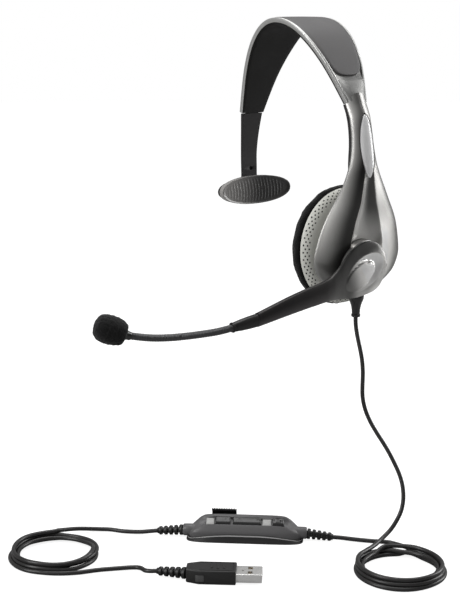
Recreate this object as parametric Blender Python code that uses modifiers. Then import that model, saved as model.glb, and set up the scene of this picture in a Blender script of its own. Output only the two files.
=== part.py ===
# Office headset: one ear cup on a headband, a temple pad on the other side,
# a swinging microphone boom, and a cord with an inline controller and a USB plug.
#
# Drawing units are millimetres.  X points to the wearer's left (the ear cup side),
# -Y is the wearer's forward, +Z is up.  The row origin is the crown point of the
# band on the liner's inner face, where the wearer's head carries the headset.

import bpy
import bmesh
import math
import numpy as np
from mathutils import Vector, Matrix

# ------------------------------------------------------------------ dimensions
MM = 0.001
GAP = 0.30                      # clearance between neighbouring solids
CROWN = (-2.5, 0.0, -3.5)       # crown point in drawing coordinates

# headband centre line: X, Z and full width at nine even stations
BAND = [(-49.5, -57.7, 16.6), (-40.7, -34.6, 25.2), (-30.4, -17.1, 32.5),
        (-18.9, -5.7, 36.0), (-5.6, -1.7, 37.8), (8.6, -4.2, 37.8),
        (22.1, -12.9, 34.5), (34.2, -27.6, 26.8), (44.5, -47.4, 15.2)]
RIM_W = 1.5                     # width of the frame's edge rims
COVER_END = 0.885               # band fraction where the outer cover stops

# neck and ear cup shell: Z, rim X, half width, bulge
SHELL = [(-47.8, 43.6, 7.6, 5.6), (-55.0, 46.8, 7.4, 6.2), (-66.1, 49.0, 7.6, 6.4),
         (-80.0, 50.5, 9.5, 6.8), (-91.9, 50.9, 14.4, 6.6), (-102.8, 49.5, 20.2, 8.1),
         (-113.7, 48.0, 25.8, 9.5), (-123.7, 46.3, 28.8, 11.2), (-135.7, 44.6, 30.2, 12.4),
         (-143.7, 44.2, 27.0, 12.2), (-150.8, 44.0, 19.4, 10.6), (-157.7, 43.8, 8.6, 6.6),
         (-161.0, 43.8, 3.0, 2.4)]
SHELL_T = 1.7                   # shell wall

CUP_Z = -130.0                  # ear cushion and dish centre height
DISH_R = 34.0
CUSHION_R = 35.3
PIVOT = (-2.5, -139.5)          # boom pivot, Y and Z
HEAD_R = 15.3                   # boom head
FLOOR = -300.0                  # surface the cord lies on
CORD_D = 2.5

CTRL_POS, CTRL_ANG = (24.8, -63.7), 47.6
CTRL_L, CTRL_W, CTRL_H = 66.6, 15.4, 11.0
USB_POS, USB_ANG = (61.7, -111.9), 48.6
COIL_R = ((115.5, -26.3), 25.7, 18.6, 7.6)     # centre, outer and inner radius, height
COIL_L = ((-20.8, -166.0), 25.4, 18.2, 7.2)

# ------------------------------------------------------------------ clean start
for ob in list(bpy.data.objects):
    bpy.data.objects.remove(ob, do_unlink=True)

parts = bpy.data.collections.new("office_headset")
tools = bpy.data.collections.new("cutters")
bpy.context.scene.collection.children.link(parts)
bpy.context.scene.collection.children.link(tools)


def P(x, y, z):
    "drawing millimetres to row metres"
    return Vector(((x - CROWN[0]) * MM, (y - CROWN[1]) * MM, (z - CROWN[2]) * MM))


def material(name, rgb, rough, metal=0.0):
    m = bpy.data.materials.get(name)
    if m is None:
        m = bpy.data.materials.new(name)
        m.use_nodes = True
        b = m.node_tree.nodes["Principled BSDF"]
        b.inputs["Base Color"].default_value = (*rgb, 1)
        b.inputs["Roughness"].default_value = rough
        b.inputs["Metallic"].default_value = metal
    return m


SILVER = ("silver_paint", (0.36, 0.36, 0.35), 0.35, 0.75)
PALE = ("pale_silver_paint", (0.55, 0.55, 0.53), 0.4, 0.5)
GREY = ("grey_cover", (0.09, 0.09, 0.09), 0.5)
CHAR = ("charcoal_plastic", (0.035, 0.035, 0.036), 0.5)
BLACK = ("black_plastic", (0.012, 0.012, 0.013), 0.4)
RUBBER = ("black_rubber", (0.02, 0.02, 0.02), 0.6)
FOAM = ("black_foam", (0.01, 0.01, 0.01), 0.95)
LIGHT = ("light_grey_plastic", (0.55, 0.55, 0.53), 0.5)
WHITE = ("white_gloss", (0.85, 0.85, 0.85), 0.15)
STEEL = ("steel", (0.7, 0.7, 0.7), 0.25, 1.0)
BRASS = ("contact_gold", (0.8, 0.6, 0.25), 0.3, 1.0)
GREEN = ("circuit_board", (0.02, 0.12, 0.05), 0.5)
CORD = ("cord_jacket", (0.06, 0.06, 0.062), 0.5)


def finish(ob, name, mat, coll=None):
    ob.name = name
    ob.data.name = name
    if mat:
        ob.data.materials.clear()
        ob.data.materials.append(material(*mat))
    (coll or parts).objects.link(ob)
    return ob


def mesh_object(name, bm, mat, coll=None, smooth=True, normals=True):
    if normals:
        bmesh.ops.recalc_face_normals(bm, faces=bm.faces)
    me = bpy.data.meshes.new(name)
    bm.to_mesh(me)
    bm.free()
    if smooth:
        me.shade_smooth()
        me.set_sharp_from_angle(angle=math.radians(35))
    return finish(bpy.data.objects.new(name, me), name, mat, coll)


def hidden(ob):
    ob.hide_render = True
    ob.display_type = 'WIRE'
    return ob


def boolean(ob, cutter, op='DIFFERENCE'):
    hidden(cutter)
    m = ob.modifiers.new(op.lower(), 'BOOLEAN')
    m.operation = op
    m.object = cutter
    m.solver = 'EXACT'
    return ob


def loft(name, rings, mat, coll=None):
    "closed rings of equal length joined into one solid, flat caps at both ends"
    bm = bmesh.new()
    rows = [[bm.verts.new(p) for p in ring] for ring in rings]
    n = len(rows[0])
    for a, b in zip(rows[:-1], rows[1:]):
        for i in range(n):
            j = (i + 1) % n
            bm.faces.new((a[i], a[j], b[j], b[i]))
    bm.faces.new(rows[0])
    bm.faces.new(rows[-1])
    bmesh.ops.triangulate(bm, faces=[f for f in bm.faces if len(f.verts) > 4])
    return mesh_object(name, bm, mat, coll)


def turned(name, profile, steps, mat, loc, axis=(0, 0, 1), coll=None, parent=None):
    "profile of (radius, height) in mm, outer side first from the top down"
    bm = bmesh.new()
    vs = [bm.verts.new((r * MM, 0, h * MM)) for r, h in profile]
    for a, b in zip(vs[:-1], vs[1:]):
        bm.edges.new((a, b))
    if profile[0][0] > 1e-6:
        bm.edges.new((vs[-1], vs[0]))
    me = bpy.data.meshes.new(name)
    bm.to_mesh(me)
    bm.free()
    ob = finish(bpy.data.objects.new(name, me), name, mat, coll)
    s = ob.modifiers.new("turn", 'SCREW')
    s.axis = 'Z'
    s.angle = 2 * math.pi
    s.steps = s.render_steps = steps
    s.use_merge_vertices = True
    s.merge_threshold = 0.00001
    s.use_smooth_shade = True
    ob.rotation_mode = 'QUATERNION'
    ob.rotation_quaternion = Vector((0, 0, 1)).rotation_difference(Vector(axis))
    ob.location = loc
    if parent:
        ob.parent = parent
    return ob


def box(name, size, loc, mat, rot=0.0, coll=None, parent=None, bevel=0.0, axis='Z'):
    bm = bmesh.new()
    bmesh.ops.create_cube(bm, size=1.0)
    bmesh.ops.scale(bm, vec=[s * MM for s in size], verts=bm.verts)
    ob = mesh_object(name, bm, mat, coll, smooth=False)
    ob.location = loc
    ob.rotation_euler = Matrix.Rotation(rot, 3, axis).to_euler()
    if bevel:
        b = ob.modifiers.new("edges", 'BEVEL')
        b.width = bevel * MM
        b.segments = 2
    if parent:
        ob.parent = parent
    return ob


def outline(name, pts, thick, loc, mat, rot=(0, 0, 0), coll=None, parent=None):
    "flat plate from a closed outline in mm, thickness centred on its plane, welded to a mesh"
    cu = bpy.data.curves.new(name + "_outline", 'CURVE')
    cu.dimensions = '2D'
    cu.fill_mode = 'BOTH'
    cu.extrude = thick * MM / 2
    sp = cu.splines.new('POLY')
    sp.points.add(len(pts) - 1)
    for q, (x, y) in zip(sp.points, pts):
        q.co = (x * MM, y * MM, 0, 1)
    sp.use_cyclic_u = True
    tmp = bpy.data.objects.new(name + "_outline", cu)
    bpy.context.scene.collection.objects.link(tmp)
    bpy.context.view_layer.update()
    me = bpy.data.meshes.new_from_object(tmp.evaluated_get(bpy.context.evaluated_depsgraph_get()))
    bpy.data.objects.remove(tmp, do_unlink=True)
    bm = bmesh.new()
    bm.from_mesh(me)
    bpy.data.meshes.remove(me)
    bmesh.ops.remove_doubles(bm, verts=bm.verts, dist=1e-6)
    ob = mesh_object(name, bm, mat, coll)
    ob.location = loc
    ob.rotation_euler = rot
    if parent:
        ob.parent = parent
    return ob


def tube(name, pts, dia, mat, parent=None, res=2):
    cu = bpy.data.curves.new(name, 'CURVE')
    cu.dimensions = '3D'
    cu.bevel_depth = dia * MM / 2
    cu.bevel_resolution = res
    cu.use_fill_caps = True
    sp = cu.splines.new('POLY')
    sp.points.add(len(pts) - 1)
    for q, p in zip(sp.points, pts):
        q.co = (*p, 1)
    cu.materials.append(material(*mat))
    ob = bpy.data.objects.new(name, cu)
    parts.objects.link(ob)
    if parent:
        ob.parent = parent
    return ob


def spline(knots, ts):
    "natural cubic spline through evenly numbered knots"
    k = np.array(knots, float)
    n = len(k)
    a = np.zeros((n, n))
    r = np.zeros_like(k)
    a[0, 0] = a[-1, -1] = 1
    for i in range(1, n - 1):
        a[i, i - 1:i + 2] = (1, 4, 1)
        r[i] = 6 * (k[i + 1] - 2 * k[i] + k[i - 1])
    m = np.linalg.solve(a, r)
    out = []
    for t in ts:
        i = int(min(max(math.floor(t), 0), n - 2))
        f = t - i
        g = 1 - f
        out.append(g * k[i] + f * k[i + 1] + ((g ** 3 - g) * m[i] + (f ** 3 - f) * m[i + 1]) / 6)
    return np.array(out)


def smooth_path(points, spacing):
    "spline through the route's points, read at even steps"
    fine = spline(points, np.linspace(0, len(points) - 1, 60 * len(points)))
    d = np.concatenate([[0], np.cumsum(np.linalg.norm(np.diff(fine, axis=0), axis=1))])
    n = max(4, int(round(d[-1] / spacing)) + 1)
    path = np.array([[np.interp(s, d, fine[:, j]) for j in range(3)] for s in np.linspace(0, d[-1], n)])
    path[:, 2] = np.maximum(path[:, 2], FLOOR + CORD_D / 2 + 0.02)
    return path


# ------------------------------------------------------------------ headband
def band(s):
    "point, outward normal, tangent and half width at band fraction s"
    t = s * (len(BAND) - 1)
    p0, p1 = spline(BAND, [t - 0.01, t + 0.01])
    p = spline(BAND, [t])[0]
    d = np.array([p1[0] - p0[0], p1[1] - p0[1]])
    d /= np.linalg.norm(d)
    return (p[0], p[1]), (-d[1], d[0]), d, p[2] / 2


def band_ring(s, section):
    "section: list of (y, n) in mm across the band"
    (x, z), (nx, nz), _, _ = band(s)
    return [P(x + nx * n, y, z + nz * n) for y, n in section]


def shoulder(s):
    "extra crown of the frame beyond the outer cover"
    t = min(max((s - COVER_END) / (1 - COVER_END), 0), 1)
    return t * t * (3 - 2 * t)


def frame_section(s):
    b = band(s)[3]
    e = shoulder(s)
    i = b - RIM_W
    floor = 0.8 + 0.7 * min(1, max(0, (s - COVER_END) * 60))
    crown = [(f * i, floor + 3.4 * e * math.sqrt(1 - f * f * 0.96)) for f in (-1, -0.6, 0, 0.6, 1)]
    return [(-b, -1.1), (-b, 1.5)] + [(-i, 1.5)] + crown + [(i, 1.5)] + [(b, 1.5), (b, -1.1), (i, -1.1), (i, 0.2), (-i, 0.2), (-i, -1.1)]


fractions = [i / 30 for i in range(31)]
rings = []
for s in fractions:
    sec = frame_section(s)
    if abs(sec[2][1] - sec[3][1]) < 0.02:       # keep the rim step open where the crown meets it
        sec[3] = (sec[3][0], sec[3][1] + 0.02)
        sec[7] = (sec[7][0], sec[7][1] + 0.02)
    rings.append(band_ring(s, sec))
headband_frame = loft("headband_frame", rings, PALE)


def strip(name, s0, s1, half, n0, n1, mat, steps=24, parent=None):
    out = []
    for k in range(steps + 1):
        s = s0 + (s1 - s0) * k / steps
        h = half(s)
        out.append(band_ring(s, [(-h, n0), (-h, n1), (0, n1), (h, n1), (h, n0), (0, n0)]))
    return loft(name, out, mat)


def cover_half(s):
    full = band(s)[3] - RIM_W - GAP
    a = (COVER_END - 0.004 - s) * 8.0
    return max(0.6, full * math.sqrt(max(0.0, 1 - max(0.0, 1 - a / 0.75) ** 2.4)))


headband_cover = strip("headband_cover", 0.006, COVER_END - 0.006, cover_half, 1.1, 1.75, GREY, 28)
headband_liner = strip("headband_liner", 0.002, 0.998, lambda s: band(s)[3] - 0.1, -2.05, -1.4, CHAR, 28)
headband_spring = strip("headband_spring", 0.34, 0.97, lambda s: 4.0, -0.75, -0.25, STEEL, 20)

# ------------------------------------------------------------------ temple arm, sliding on an arc
# the tongue rides in the channel between frame and liner; its arc is the circle
# through three points of the band's lower end
q0, q1, q2 = [np.array(band(s)[0]) for s in (0.0, 0.13, 0.26)]


def circle(a, b, c):
    m = 2 * np.array([b - a, c - a])
    r = np.array([b @ b - a @ a, c @ c - a @ a])
    o = np.linalg.solve(m, r)
    return o, np.linalg.norm(a - o)


ARC_O, ARC_R = circle(q0, q1, q2)
slide_empty = bpy.data.objects.new("temple_slide_axis", None)
slide_empty.location = P(ARC_O[0], 0, ARC_O[1])
parts.objects.link(slide_empty)


def adopt(ob, empty):
    "parent a world-placed object to an empty that only has a location"
    ob.parent = empty
    ob.matrix_parent_inverse = Matrix.Translation(-empty.location)
    return ob


a_end = math.atan2(q0[1] - ARC_O[1], q0[0] - ARC_O[0])
mid = ARC_R - 0.55          # channel middle lies inside the centre line


def arc_point(dist, r):
    "dist mm up the arc from the band's end"
    a = a_end - dist / ARC_R
    return ARC_O[0] + r * math.cos(a), ARC_O[1] + r * math.sin(a)


rings = []
for k in range(9):
    d = -3.0 + 31.0 * k / 8
    h = 5.2 - (0.6 if k == 8 else 0)
    rings.append([P(*(lambda q: (q[0], y, q[1]))(arc_point(d, r))) for y, r in ((-h, mid - 0.35), (-h, mid + 0.35), (h, mid + 0.35), (h, mid - 0.35))])
temple_tongue = adopt(loft("temple_slide_tongue", rings, STEEL), slide_empty)

ARM = [(-49.1, -58.4, 7.9, 1.25), (-50.6, -69.3, 6.9, 1.0), (-51.7, -81.9, 6.05, 1.0), (-51.6, -91.0, 6.0, 0.95), (-51.4, -98.0, 6.1, 0.85), (-51.1, -103.0, 6.0, 1.5), (-51.1, -107.0, 5.4, 1.5)]
arm_path = spline(ARM, np.linspace(0, len(ARM) - 1, 16))
rings = []
for k, (x, z, h, t) in enumerate(arm_path):
    rings.append([P(x - t, -h, z), P(x - t, h, z), P(x + t, h, z), P(x + t, -h, z)])
temple_arm = loft("temple_arm", rings, CHAR)
# slot that takes the tongue's lower end, and the detent hole
rings = []
for k in range(4):
    d = -3.4 + 6.4 * k / 3
    rings.append([P(*(lambda q: (q[0], y, q[1]))(arc_point(d, r))) for y, r in ((-5.55, mid - 0.68), (-5.55, mid + 0.68), (5.55, mid + 0.68), (5.55, mid - 0.68))])
boolean(temple_arm, loft("cut_tongue_slot", rings, None, tools))
boolean(temple_arm, turned("cut_detent", [(0, 3), (1.2, 3), (1.2, -3), (0, -3)], 12, None, P(-51.8, 0.9, -92.8), (1, 0, 0), tools))
# bore for the pad pin
PAD_PIN = (-51.1, -104.6)
boolean(temple_arm, turned("cut_pad_pin", [(0, 10), (1.0, 10), (1.0, -10), (0, -10)], 12, None, P(PAD_PIN[0], 0, PAD_PIN[1]), (0, 1, 0), tools))
adopt(temple_arm, slide_empty)
temple_pad_pin = turned("temple_pad_pin", [(0, 8.6), (0.65, 8.6), (0.65, -8.6), (0, -8.6)], 12, STEEL, P(PAD_PIN[0], 0, PAD_PIN[1]), (0, 1, 0))
adopt(temple_pad_pin, slide_empty)

pad_empty = bpy.data.objects.new("temple_pad_axis", None)
pad_empty.location = P(PAD_PIN[0], 0, PAD_PIN[1])
parts.objects.link(pad_empty)


def oval(a, b, n=40, e=2.2):
    out = []
    for i in range(n):
        t = 2 * math.pi * i / n
        c, s = math.cos(t), math.sin(t)
        out.append((a * math.copysign(abs(c) ** (2 / e), c), b * math.copysign(abs(s) ** (2 / e), s)))
    return out


PAD_C = (0.0, -105.7)
FLAT_X = (math.radians(90), 0, math.radians(90))      # outline x -> +Y, y -> +Z, facing +X
pad_plate = outline("temple_pad_plate", oval(26.6, 7.6), 1.2, P(-48.5, PAD_C[0], PAD_C[1]), BLACK, rot=FLAT_X)
for sgn in (-1, 1):
    ear = box("ear_%s" % ("left" if sgn > 0 else "right"), (4.0, 1.4, 5.0), P(-50.4, sgn * 7.2, PAD_PIN[1]), None, coll=tools)
    boolean(pad_plate, ear, 'UNION')
boolean(pad_plate, turned("cut_ear_bore", [(0, 10), (1.0, 10), (1.0, -10), (0, -10)], 12, None, P(PAD_PIN[0], 0, PAD_PIN[1]), (0, 1, 0), tools))
adopt(pad_plate, pad_empty)
temple_pad = outline("temple_pad", oval(28.2, 8.8), 4.0, P(-45.6, PAD_C[0], PAD_C[1]), RUBBER, rot=FLAT_X)
adopt(temple_pad, pad_empty)


# ------------------------------------------------------------------ neck and ear cup shell
SH = np.array(SHELL)


def shell_at(z):
    "rim X, half width and bulge at height z, smooth between the stations"
    i = len(SH) - 1
    for k in range(len(SH) - 1):
        if SH[k, 0] >= z >= SH[k + 1, 0]:
            t = k + (SH[k, 0] - z) / (SH[k, 0] - SH[k + 1, 0])
            v = spline(SH[:, 1:], [t])[0]
            return v
    return SH[0, 1:] if z > SH[0, 0] else SH[-1, 1:]


def crease(z):
    "half width of the valley between the two lobes"
    return float(np.interp(-z, [70, 85, 103, 113, 125, 165], [0.0, 3.2, 6.0, 9.3, 12.4, 13.0]))


def valley(z):
    "depth of the valley floor below the crest"
    return float(np.interp(-z, [78, 92, 104, 114, 125, 134, 144, 151, 159], [0.0, 1.2, 1.8, 2.2, 3.6, 5.0, 4.4, 2.6, 0.0]))


def shell_x(f, z, inset=0.0):
    "outer surface X at width fraction f"
    xr, w, h = shell_at(z)
    y = f * w
    x = xr + h * math.sqrt(max(0.0, 1 - f * f))
    c = crease(z)
    if c > 0 and abs(y) < c + 2.0:
        k = min(1.0, max(0.0, (c + 2.0 - abs(y)) / 2.0))
        x -= valley(z) * k * k * (3 - 2 * k)
    return y, x


levels = np.concatenate([np.linspace(-47.8, -92, 8), np.linspace(-98, -157.7, 13), [-161.0]])
NF = 16
rings = []
for z in levels:
    xr, w, h = shell_at(z)
    wall = min(SHELL_T, 0.45 * w, 0.6 * h)
    outer, inner = [], []
    for k in range(NF + 1):
        a = -math.pi / 2 + math.pi * k / NF
        y, x = shell_x(math.sin(a), z)
        outer.append(P(x, y, z))
        yi = (w - wall) / w * y
        xi = xr + max(0.0, (x - xr - wall))
        r = math.hypot(yi - PIVOT[0], z - PIVOT[1])
        if r < 20:
            xi = min(xi, 50.2 + max(0.0, r - 16.5) * 1.6)
        inner.append(P(xi, yi, z))
    rings.append(outer + inner[::-1])
earcup_shell = loft("earcup_shell", rings, SILVER)
XD = Vector((1, 0, 0))
boolean(earcup_shell, turned("cut_head_recess", [(0, 12), (HEAD_R + 0.6, 12), (HEAD_R + 0.6, 0), (0, 0)], 40, None, P(52.0, *PIVOT), (1, 0, 0), tools))
boolean(earcup_shell, turned("cut_pivot_hole", [(0, 9), (4.6, 9), (4.6, -9), (0, -9)], 20, None, P(51.0, *PIVOT), (1, 0, 0), tools))


# badge recess and badge: a leaf on the neck's crest
def leaf(half_l, half_w, n=18):
    "pointed oval, x along the neck, y across"
    top = [(half_l * math.cos(math.pi * k / n), half_w * math.sin(math.pi * k / n) ** 1.25) for k in range(n + 1)]
    return top + [(x, -y) for x, y in top[-2:0:-1]]


BADGE_TOP, BADGE_BOT = -53.0, -89.0
bz = (BADGE_TOP + BADGE_BOT) / 2


def badge_solid(name, half_l, half_w, low, high, mat, coll=None):
    "leaf whose faces follow the neck's crest line at given offsets"
    pts = leaf(half_l, half_w, 14)
    n = len(pts)
    rows = []
    for off in (low, high):
        row = []
        for px, py in pts:
            z = bz + px
            xr, w, h = shell_at(z)
            row.append(P(xr + h + off, py, z))
        rows.append(row)
    bm = bmesh.new()
    a, b = [[bm.verts.new(p) for p in r] for r in rows]
    for i in range(n):
        j = (i + 1) % n
        bm.faces.new((a[i], a[j], b[j], b[i]))
    m = n // 2
    for r in (a, b):
        for i in range(m):
            quad = [r[i], r[i + 1], r[(n - i - 1) % n], r[(n - i) % n]]
            uniq = list(dict.fromkeys(quad))
            if len(uniq) >= 3:
                bm.faces.new(uniq)
    return mesh_object(name, bm, mat, coll)


boolean(earcup_shell, badge_solid("cut_badge_seat", 18.3, 5.3, -1.0, 4.0, None, tools))
badge_insert = badge_solid("badge_insert", 17.9, 4.9, -0.65, 0.15, WHITE)

# inner cover of the neck
rings = []
for z in np.linspace(-48.2, -91.0, 10):
    xr, w, h = shell_at(z)
    hw = min(w - 0.1, 9.2)
    rings.append([P(xr - 1.7, -hw, z), P(xr - GAP, -hw, z), P(xr - GAP, hw, z), P(xr - 1.7, hw, z)])
neck_inner_cover = loft("neck_inner_cover", rings, CHAR)

# ------------------------------------------------------------------ dish, driver, cushion
CUP = P(0, 0, CUP_Z)


def cup(name, profile, steps, mat):
    "turned about the cup axis; heights are drawing X"
    return turned(name, [(r, x) for r, x in profile], steps, mat, CUP, (1, 0, 0))


speaker_housing = cup("speaker_housing",
                      [(0, 46.0), (9, 46.0), (14, 45.2), (20, 43.9), (26, 42.7), (30.5, 41.6), (32.8, 40.7), (DISH_R, 38.6), (DISH_R, 37.4), (32.6, 37.4), (31.6, 38.9), (29.2, 40.3),
                       (25, 41.2), (19, 42.2), (13, 43.5), (8, 44.2), (0, 44.2)], 28, LIGHT)
speaker_driver = cup("speaker_driver", [(0, 42.2), (7.5, 42.2), (7.5, 39.2), (13.5, 39.2), (13.5, 37.4), (0, 37.4)], 24, BLACK)
speaker_baffle = cup("speaker_baffle", [(0, 37.1), (32.4, 37.1), (32.4, 35.9), (0, 35.9)], 32, BLACK)
ear_cushion = cup("ear_cushion", [(33.0, 35.6), (34.7, 34.4), (CUSHION_R, 32.0), (CUSHION_R, 29.0), (34.2, 26.0), (31.0, 24.0), (22.0, 24.0), (18.0, 26.5), (17.0, 30.5), (18.5, 35.6)], 28, RUBBER)
cushion_scrim = cup("cushion_scrim", [(0, 35.6), (18.0, 35.6), (16.4, 32.4), (0, 32.4)], 20, FOAM)

# ------------------------------------------------------------------ boom
boom_empty = bpy.data.objects.new("boom_swing_axis", None)
boom_empty.location = P(58.0, *PIVOT)
parts.objects.link(boom_empty)

# upper and lower edge of head and arm seen from the side: Y, top Z, bottom Z
ARM_EDGE = [(12.6, -137.5, -141.5), (11.2, -132.3, -146.7), (7.5, -127.7, -151.3), (2.5, -125.0, -154.0), (-3.5, -124.2, -155.2), (-9.5, -125.6, -155.9),
            (-15.0, -128.2, -156.1), (-20.0, -132.6, -156.2), (-25.0, -138.0, -156.3), (-31.5, -143.0, -156.4), (-42.0, -146.1, -157.9), (-53.5, -148.6, -159.6),
            (-69.0, -152.2, -161.7), (-84.0, -155.4, -163.1)]
rings = []
NR = 16
for y, zt, zb in ARM_EDGE:
    hh = (zt - zb) / 2
    zc = (zt + zb) / 2
    thick = float(np.interp(-y, [-12, -5, 10, 30, 60, 84], [1.6, 2.6, 3.2, 5.0, 5.4, 5.0]))
    ring = []
    for k in range(NR):
        a = 2 * math.pi * k / NR
        cz = math.copysign(abs(math.sin(a)) ** 0.9, math.sin(a))
        cx = math.copysign(abs(math.cos(a)) ** 0.8, math.cos(a))
        ring.append(P(58.1 + thick / 2 * (1 + cx), y, zc + hh * cz))
    rings.append(ring)
boom_arm = loft("boom_arm", rings, SILVER)
boolean(boom_arm, turned("head_plug", [(0, 6.6), (HEAD_R - 2.2, 6.6), (HEAD_R, 5.4), (HEAD_R, 0), (0, 0)], 36, None, P(52.4, *PIVOT), (1, 0, 0), tools), 'UNION')
boolean(boom_arm, turned("cut_shaft_seat", [(0, 2.2), (4.4, 2.2), (4.4, -1), (0, -1)], 20, None, P(52.4, *PIVOT), (1, 0, 0), tools))
adopt(boom_arm, boom_empty)
for ob in (turned("boom_pivot_shaft", [(0, 54.2), (4.1, 54.2), (4.1, 47.9), (1.5, 47.9), (1.5, 52.0), (0, 52.0)], 20, STEEL, P(0, *PIVOT), (1, 0, 0)),
           turned("boom_retainer", [(6.6, 47.6), (6.6, 46.5), (1.6, 46.5), (1.6, 47.6)], 20, STEEL, P(0, *PIVOT), (1, 0, 0)),):
    adopt(ob, boom_empty)
friction_washer = turned("boom_friction_washer", [(7.2, 49.1), (7.2, 48.0), (5.0, 48.0), (5.0, 49.1)], 20, STEEL, P(0, *PIVOT), (1, 0, 0))


def bar(name, stations, mat, n=10):
    "lofted bar: stations of centre, direction, half height, half thickness"
    out = []
    for c, d, hz, hx in stations:
        d = Vector(d).normalized()
        side = Vector((1, 0, 0)) - d * d.x
        side.normalize()
        upv = d.cross(side)
        out.append([P(*c) + (side * hx * math.cos(2 * math.pi * k / n) + upv * hz * math.sin(2 * math.pi * k / n)) * MM for k in range(n)])
    return loft(name, out, mat)


ARM_END = (60.6, -84.3, -159.25)
boom_collar = bar("boom_collar", [((60.6, -84.4, -159.3), (0, -1, -0.1), 3.5, 2.5), ((60.4, -90.0, -159.8), (0, -1, -0.1), 3.4, 2.5), ((60.2, -100.5, -160.4), (0, -1, -0.1), 2.75, 2.4), ((60.2, -101.6, -160.5), (0, -1, -0.1), 2.3, 2.2)], BLACK, 12)
adopt(boom_collar, boom_empty)

GOOSE = [(60.1, -102.0, -160.5), (59.0, -108.5, -161.3), (56.2, -115.6, -162.1), (50.0, -127.7, -163.2), (44.0, -141.2, -162.9), (38.7, -152.6, -160.9)]
goose = smooth_path(GOOSE, 0.5)
BEND = np.array(GOOSE[3])
gi = int(np.argmin(np.linalg.norm(goose - BEND, axis=1)))
BEND = goose[gi]
near = np.linalg.norm(goose - BEND, axis=1)
rear = [g for i, g in enumerate(goose) if i < gi and near[i] > 2.3]
front = [g for i, g in enumerate(goose) if i > gi and near[i] > 2.3]
rear = [rear[i] for i in range(0, len(rear) - 1, 10)] + [rear[-1]]
front = [front[i] for i in range(0, len(front) - 1, 10)] + [front[-1]]
gooseneck_rear = adopt(tube("gooseneck_rear", [P(*p) for p in rear], 4.0, STEEL), boom_empty)
adopt(turned("gooseneck_knuckle", [(1.8 * math.sin(math.pi * k / 8), 1.8 * math.cos(math.pi * k / 8)) for k in range(9)], 12, STEEL, P(*BEND)), boom_empty)

mic_empty = bpy.data.objects.new("mic_bend_axis", None)
mic_empty.location = P(*BEND)
parts.objects.link(mic_empty)
adopt(tube("gooseneck_front", [P(*p) for p in front], 4.0, STEEL), mic_empty)
MIC_D = Vector((-4.6, -9.3, 3.9)).normalized()
MIC_0 = Vector(GOOSE[-1]) + MIC_D * 0.4


def mic(name, profile, steps, mat):
    "turned about the microphone axis, heights along it from the gooseneck's end"
    ob = turned(name, profile, steps, mat, P(*MIC_0), tuple(MIC_D))
    return adopt(ob, mic_empty)


mic("mic_housing", [(0, 8.0), (3.6, 8.0), (4.4, 7.0), (4.4, 3.0), (3.0, 0.5), (0, 0.5)], 16, BLACK)
mic("mic_capsule", [(0, 11.2), (3.0, 11.2), (3.0, 8.3), (0, 8.3)], 16, STEEL)
mic("mic_windscreen", [(0, 19.6), (4.2, 19.2), (6.8, 17.4), (8.0, 14.2), (8.3, 10.5), (8.0, 6.0), (6.9, 2.6), (5.0, 1.4), (5.0, 8.0), (4.8, 11.6), (0, 11.6)], 24, FOAM)

# ------------------------------------------------------------------ cord: cup side
RELIEF = (48.3, 0.0)
turned("cup_strain_relief", [(0, -161.4), (3.5, -161.4), (3.5, -162.2), (2.6, -163.8), (2.2, -166.0), (2.1, -168.6), (2.4, -169.0), (2.4, -170.4), (0, -170.4)], 16, BLACK, P(*RELIEF, 0), (0, 0, 1))

ZC = FLOOR + CORD_D / 2
(crx, cry), cro, cri, crh = COIL_R
(clx, cly), clo, cli, clh = COIL_L


def ring_coil(name, centre, ro, ri, h):
    b = 1.2
    prof = [(ro - b, h), (ro, h - b), (ro, b), (ro - b, 0), (ri + b, 0), (ri, b), (ri, h - b), (ri + b, h)]
    return turned(name, prof, 28, CORD, P(centre[0], centre[1], FLOOR), (0, 0, 1))


def on_ring(centre, r, deg, z):
    a = math.radians(deg)
    return (centre[0] + r * math.cos(a), centre[1] + r * math.sin(a), z)


ring_coil("cord_coil_right", (crx, cry), cro, cri, crh)
ring_coil("cord_coil_left", (clx, cly), clo, cli, clh)

# the cord meets each coil on its outer side, running in along the turn
touch = CORD_D / 2 + GAP + 0.05
IN_R = on_ring((crx, cry), cro + touch, 190, ZC)
DOWN = [(48.3, 0, -170.8), (48.4, 0, -175.0), (50.4, 0, -183.2), (54.0, 0, -194.0), (55.4, 0, -205.5), (55.0, 0.5, -217.4), (57.6, 2.0, -228.5), (63.5, 4.0, -238.1), (69.9, 6.0, -246.3),
        (76.2, 7.5, -255.4), (81.2, 8.0, -263.9), (84.3, 7.0, -273.0), (84.6, 4.0, -282.8), (82.9, -4.0, -290.9), (82.4, -13.8, -295.6), (85.0, -22.0, ZC + 0.6), IN_R]
tube("cord_down", [P(*p) for p in smooth_path(DOWN, 6.0)], CORD_D, CORD)

ctrl = bpy.data.objects.new("controller_frame", None)
ctrl.location = P(CTRL_POS[0], CTRL_POS[1], FLOOR)
ctrl.rotation_euler = (0, 0, math.radians(CTRL_ANG))
parts.objects.link(ctrl)
usb = bpy.data.objects.new("usb_frame", None)
usb.location = P(USB_POS[0], USB_POS[1], FLOOR)
usb.rotation_euler = (0, 0, math.radians(USB_ANG))
parts.objects.link(usb)


def at(frame_pos, ang, x, y, z):
    a = math.radians(ang)
    return (frame_pos[0] + x * math.cos(a) - y * math.sin(a), frame_pos[1] + x * math.sin(a) + y * math.cos(a), FLOOR + z)


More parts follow.
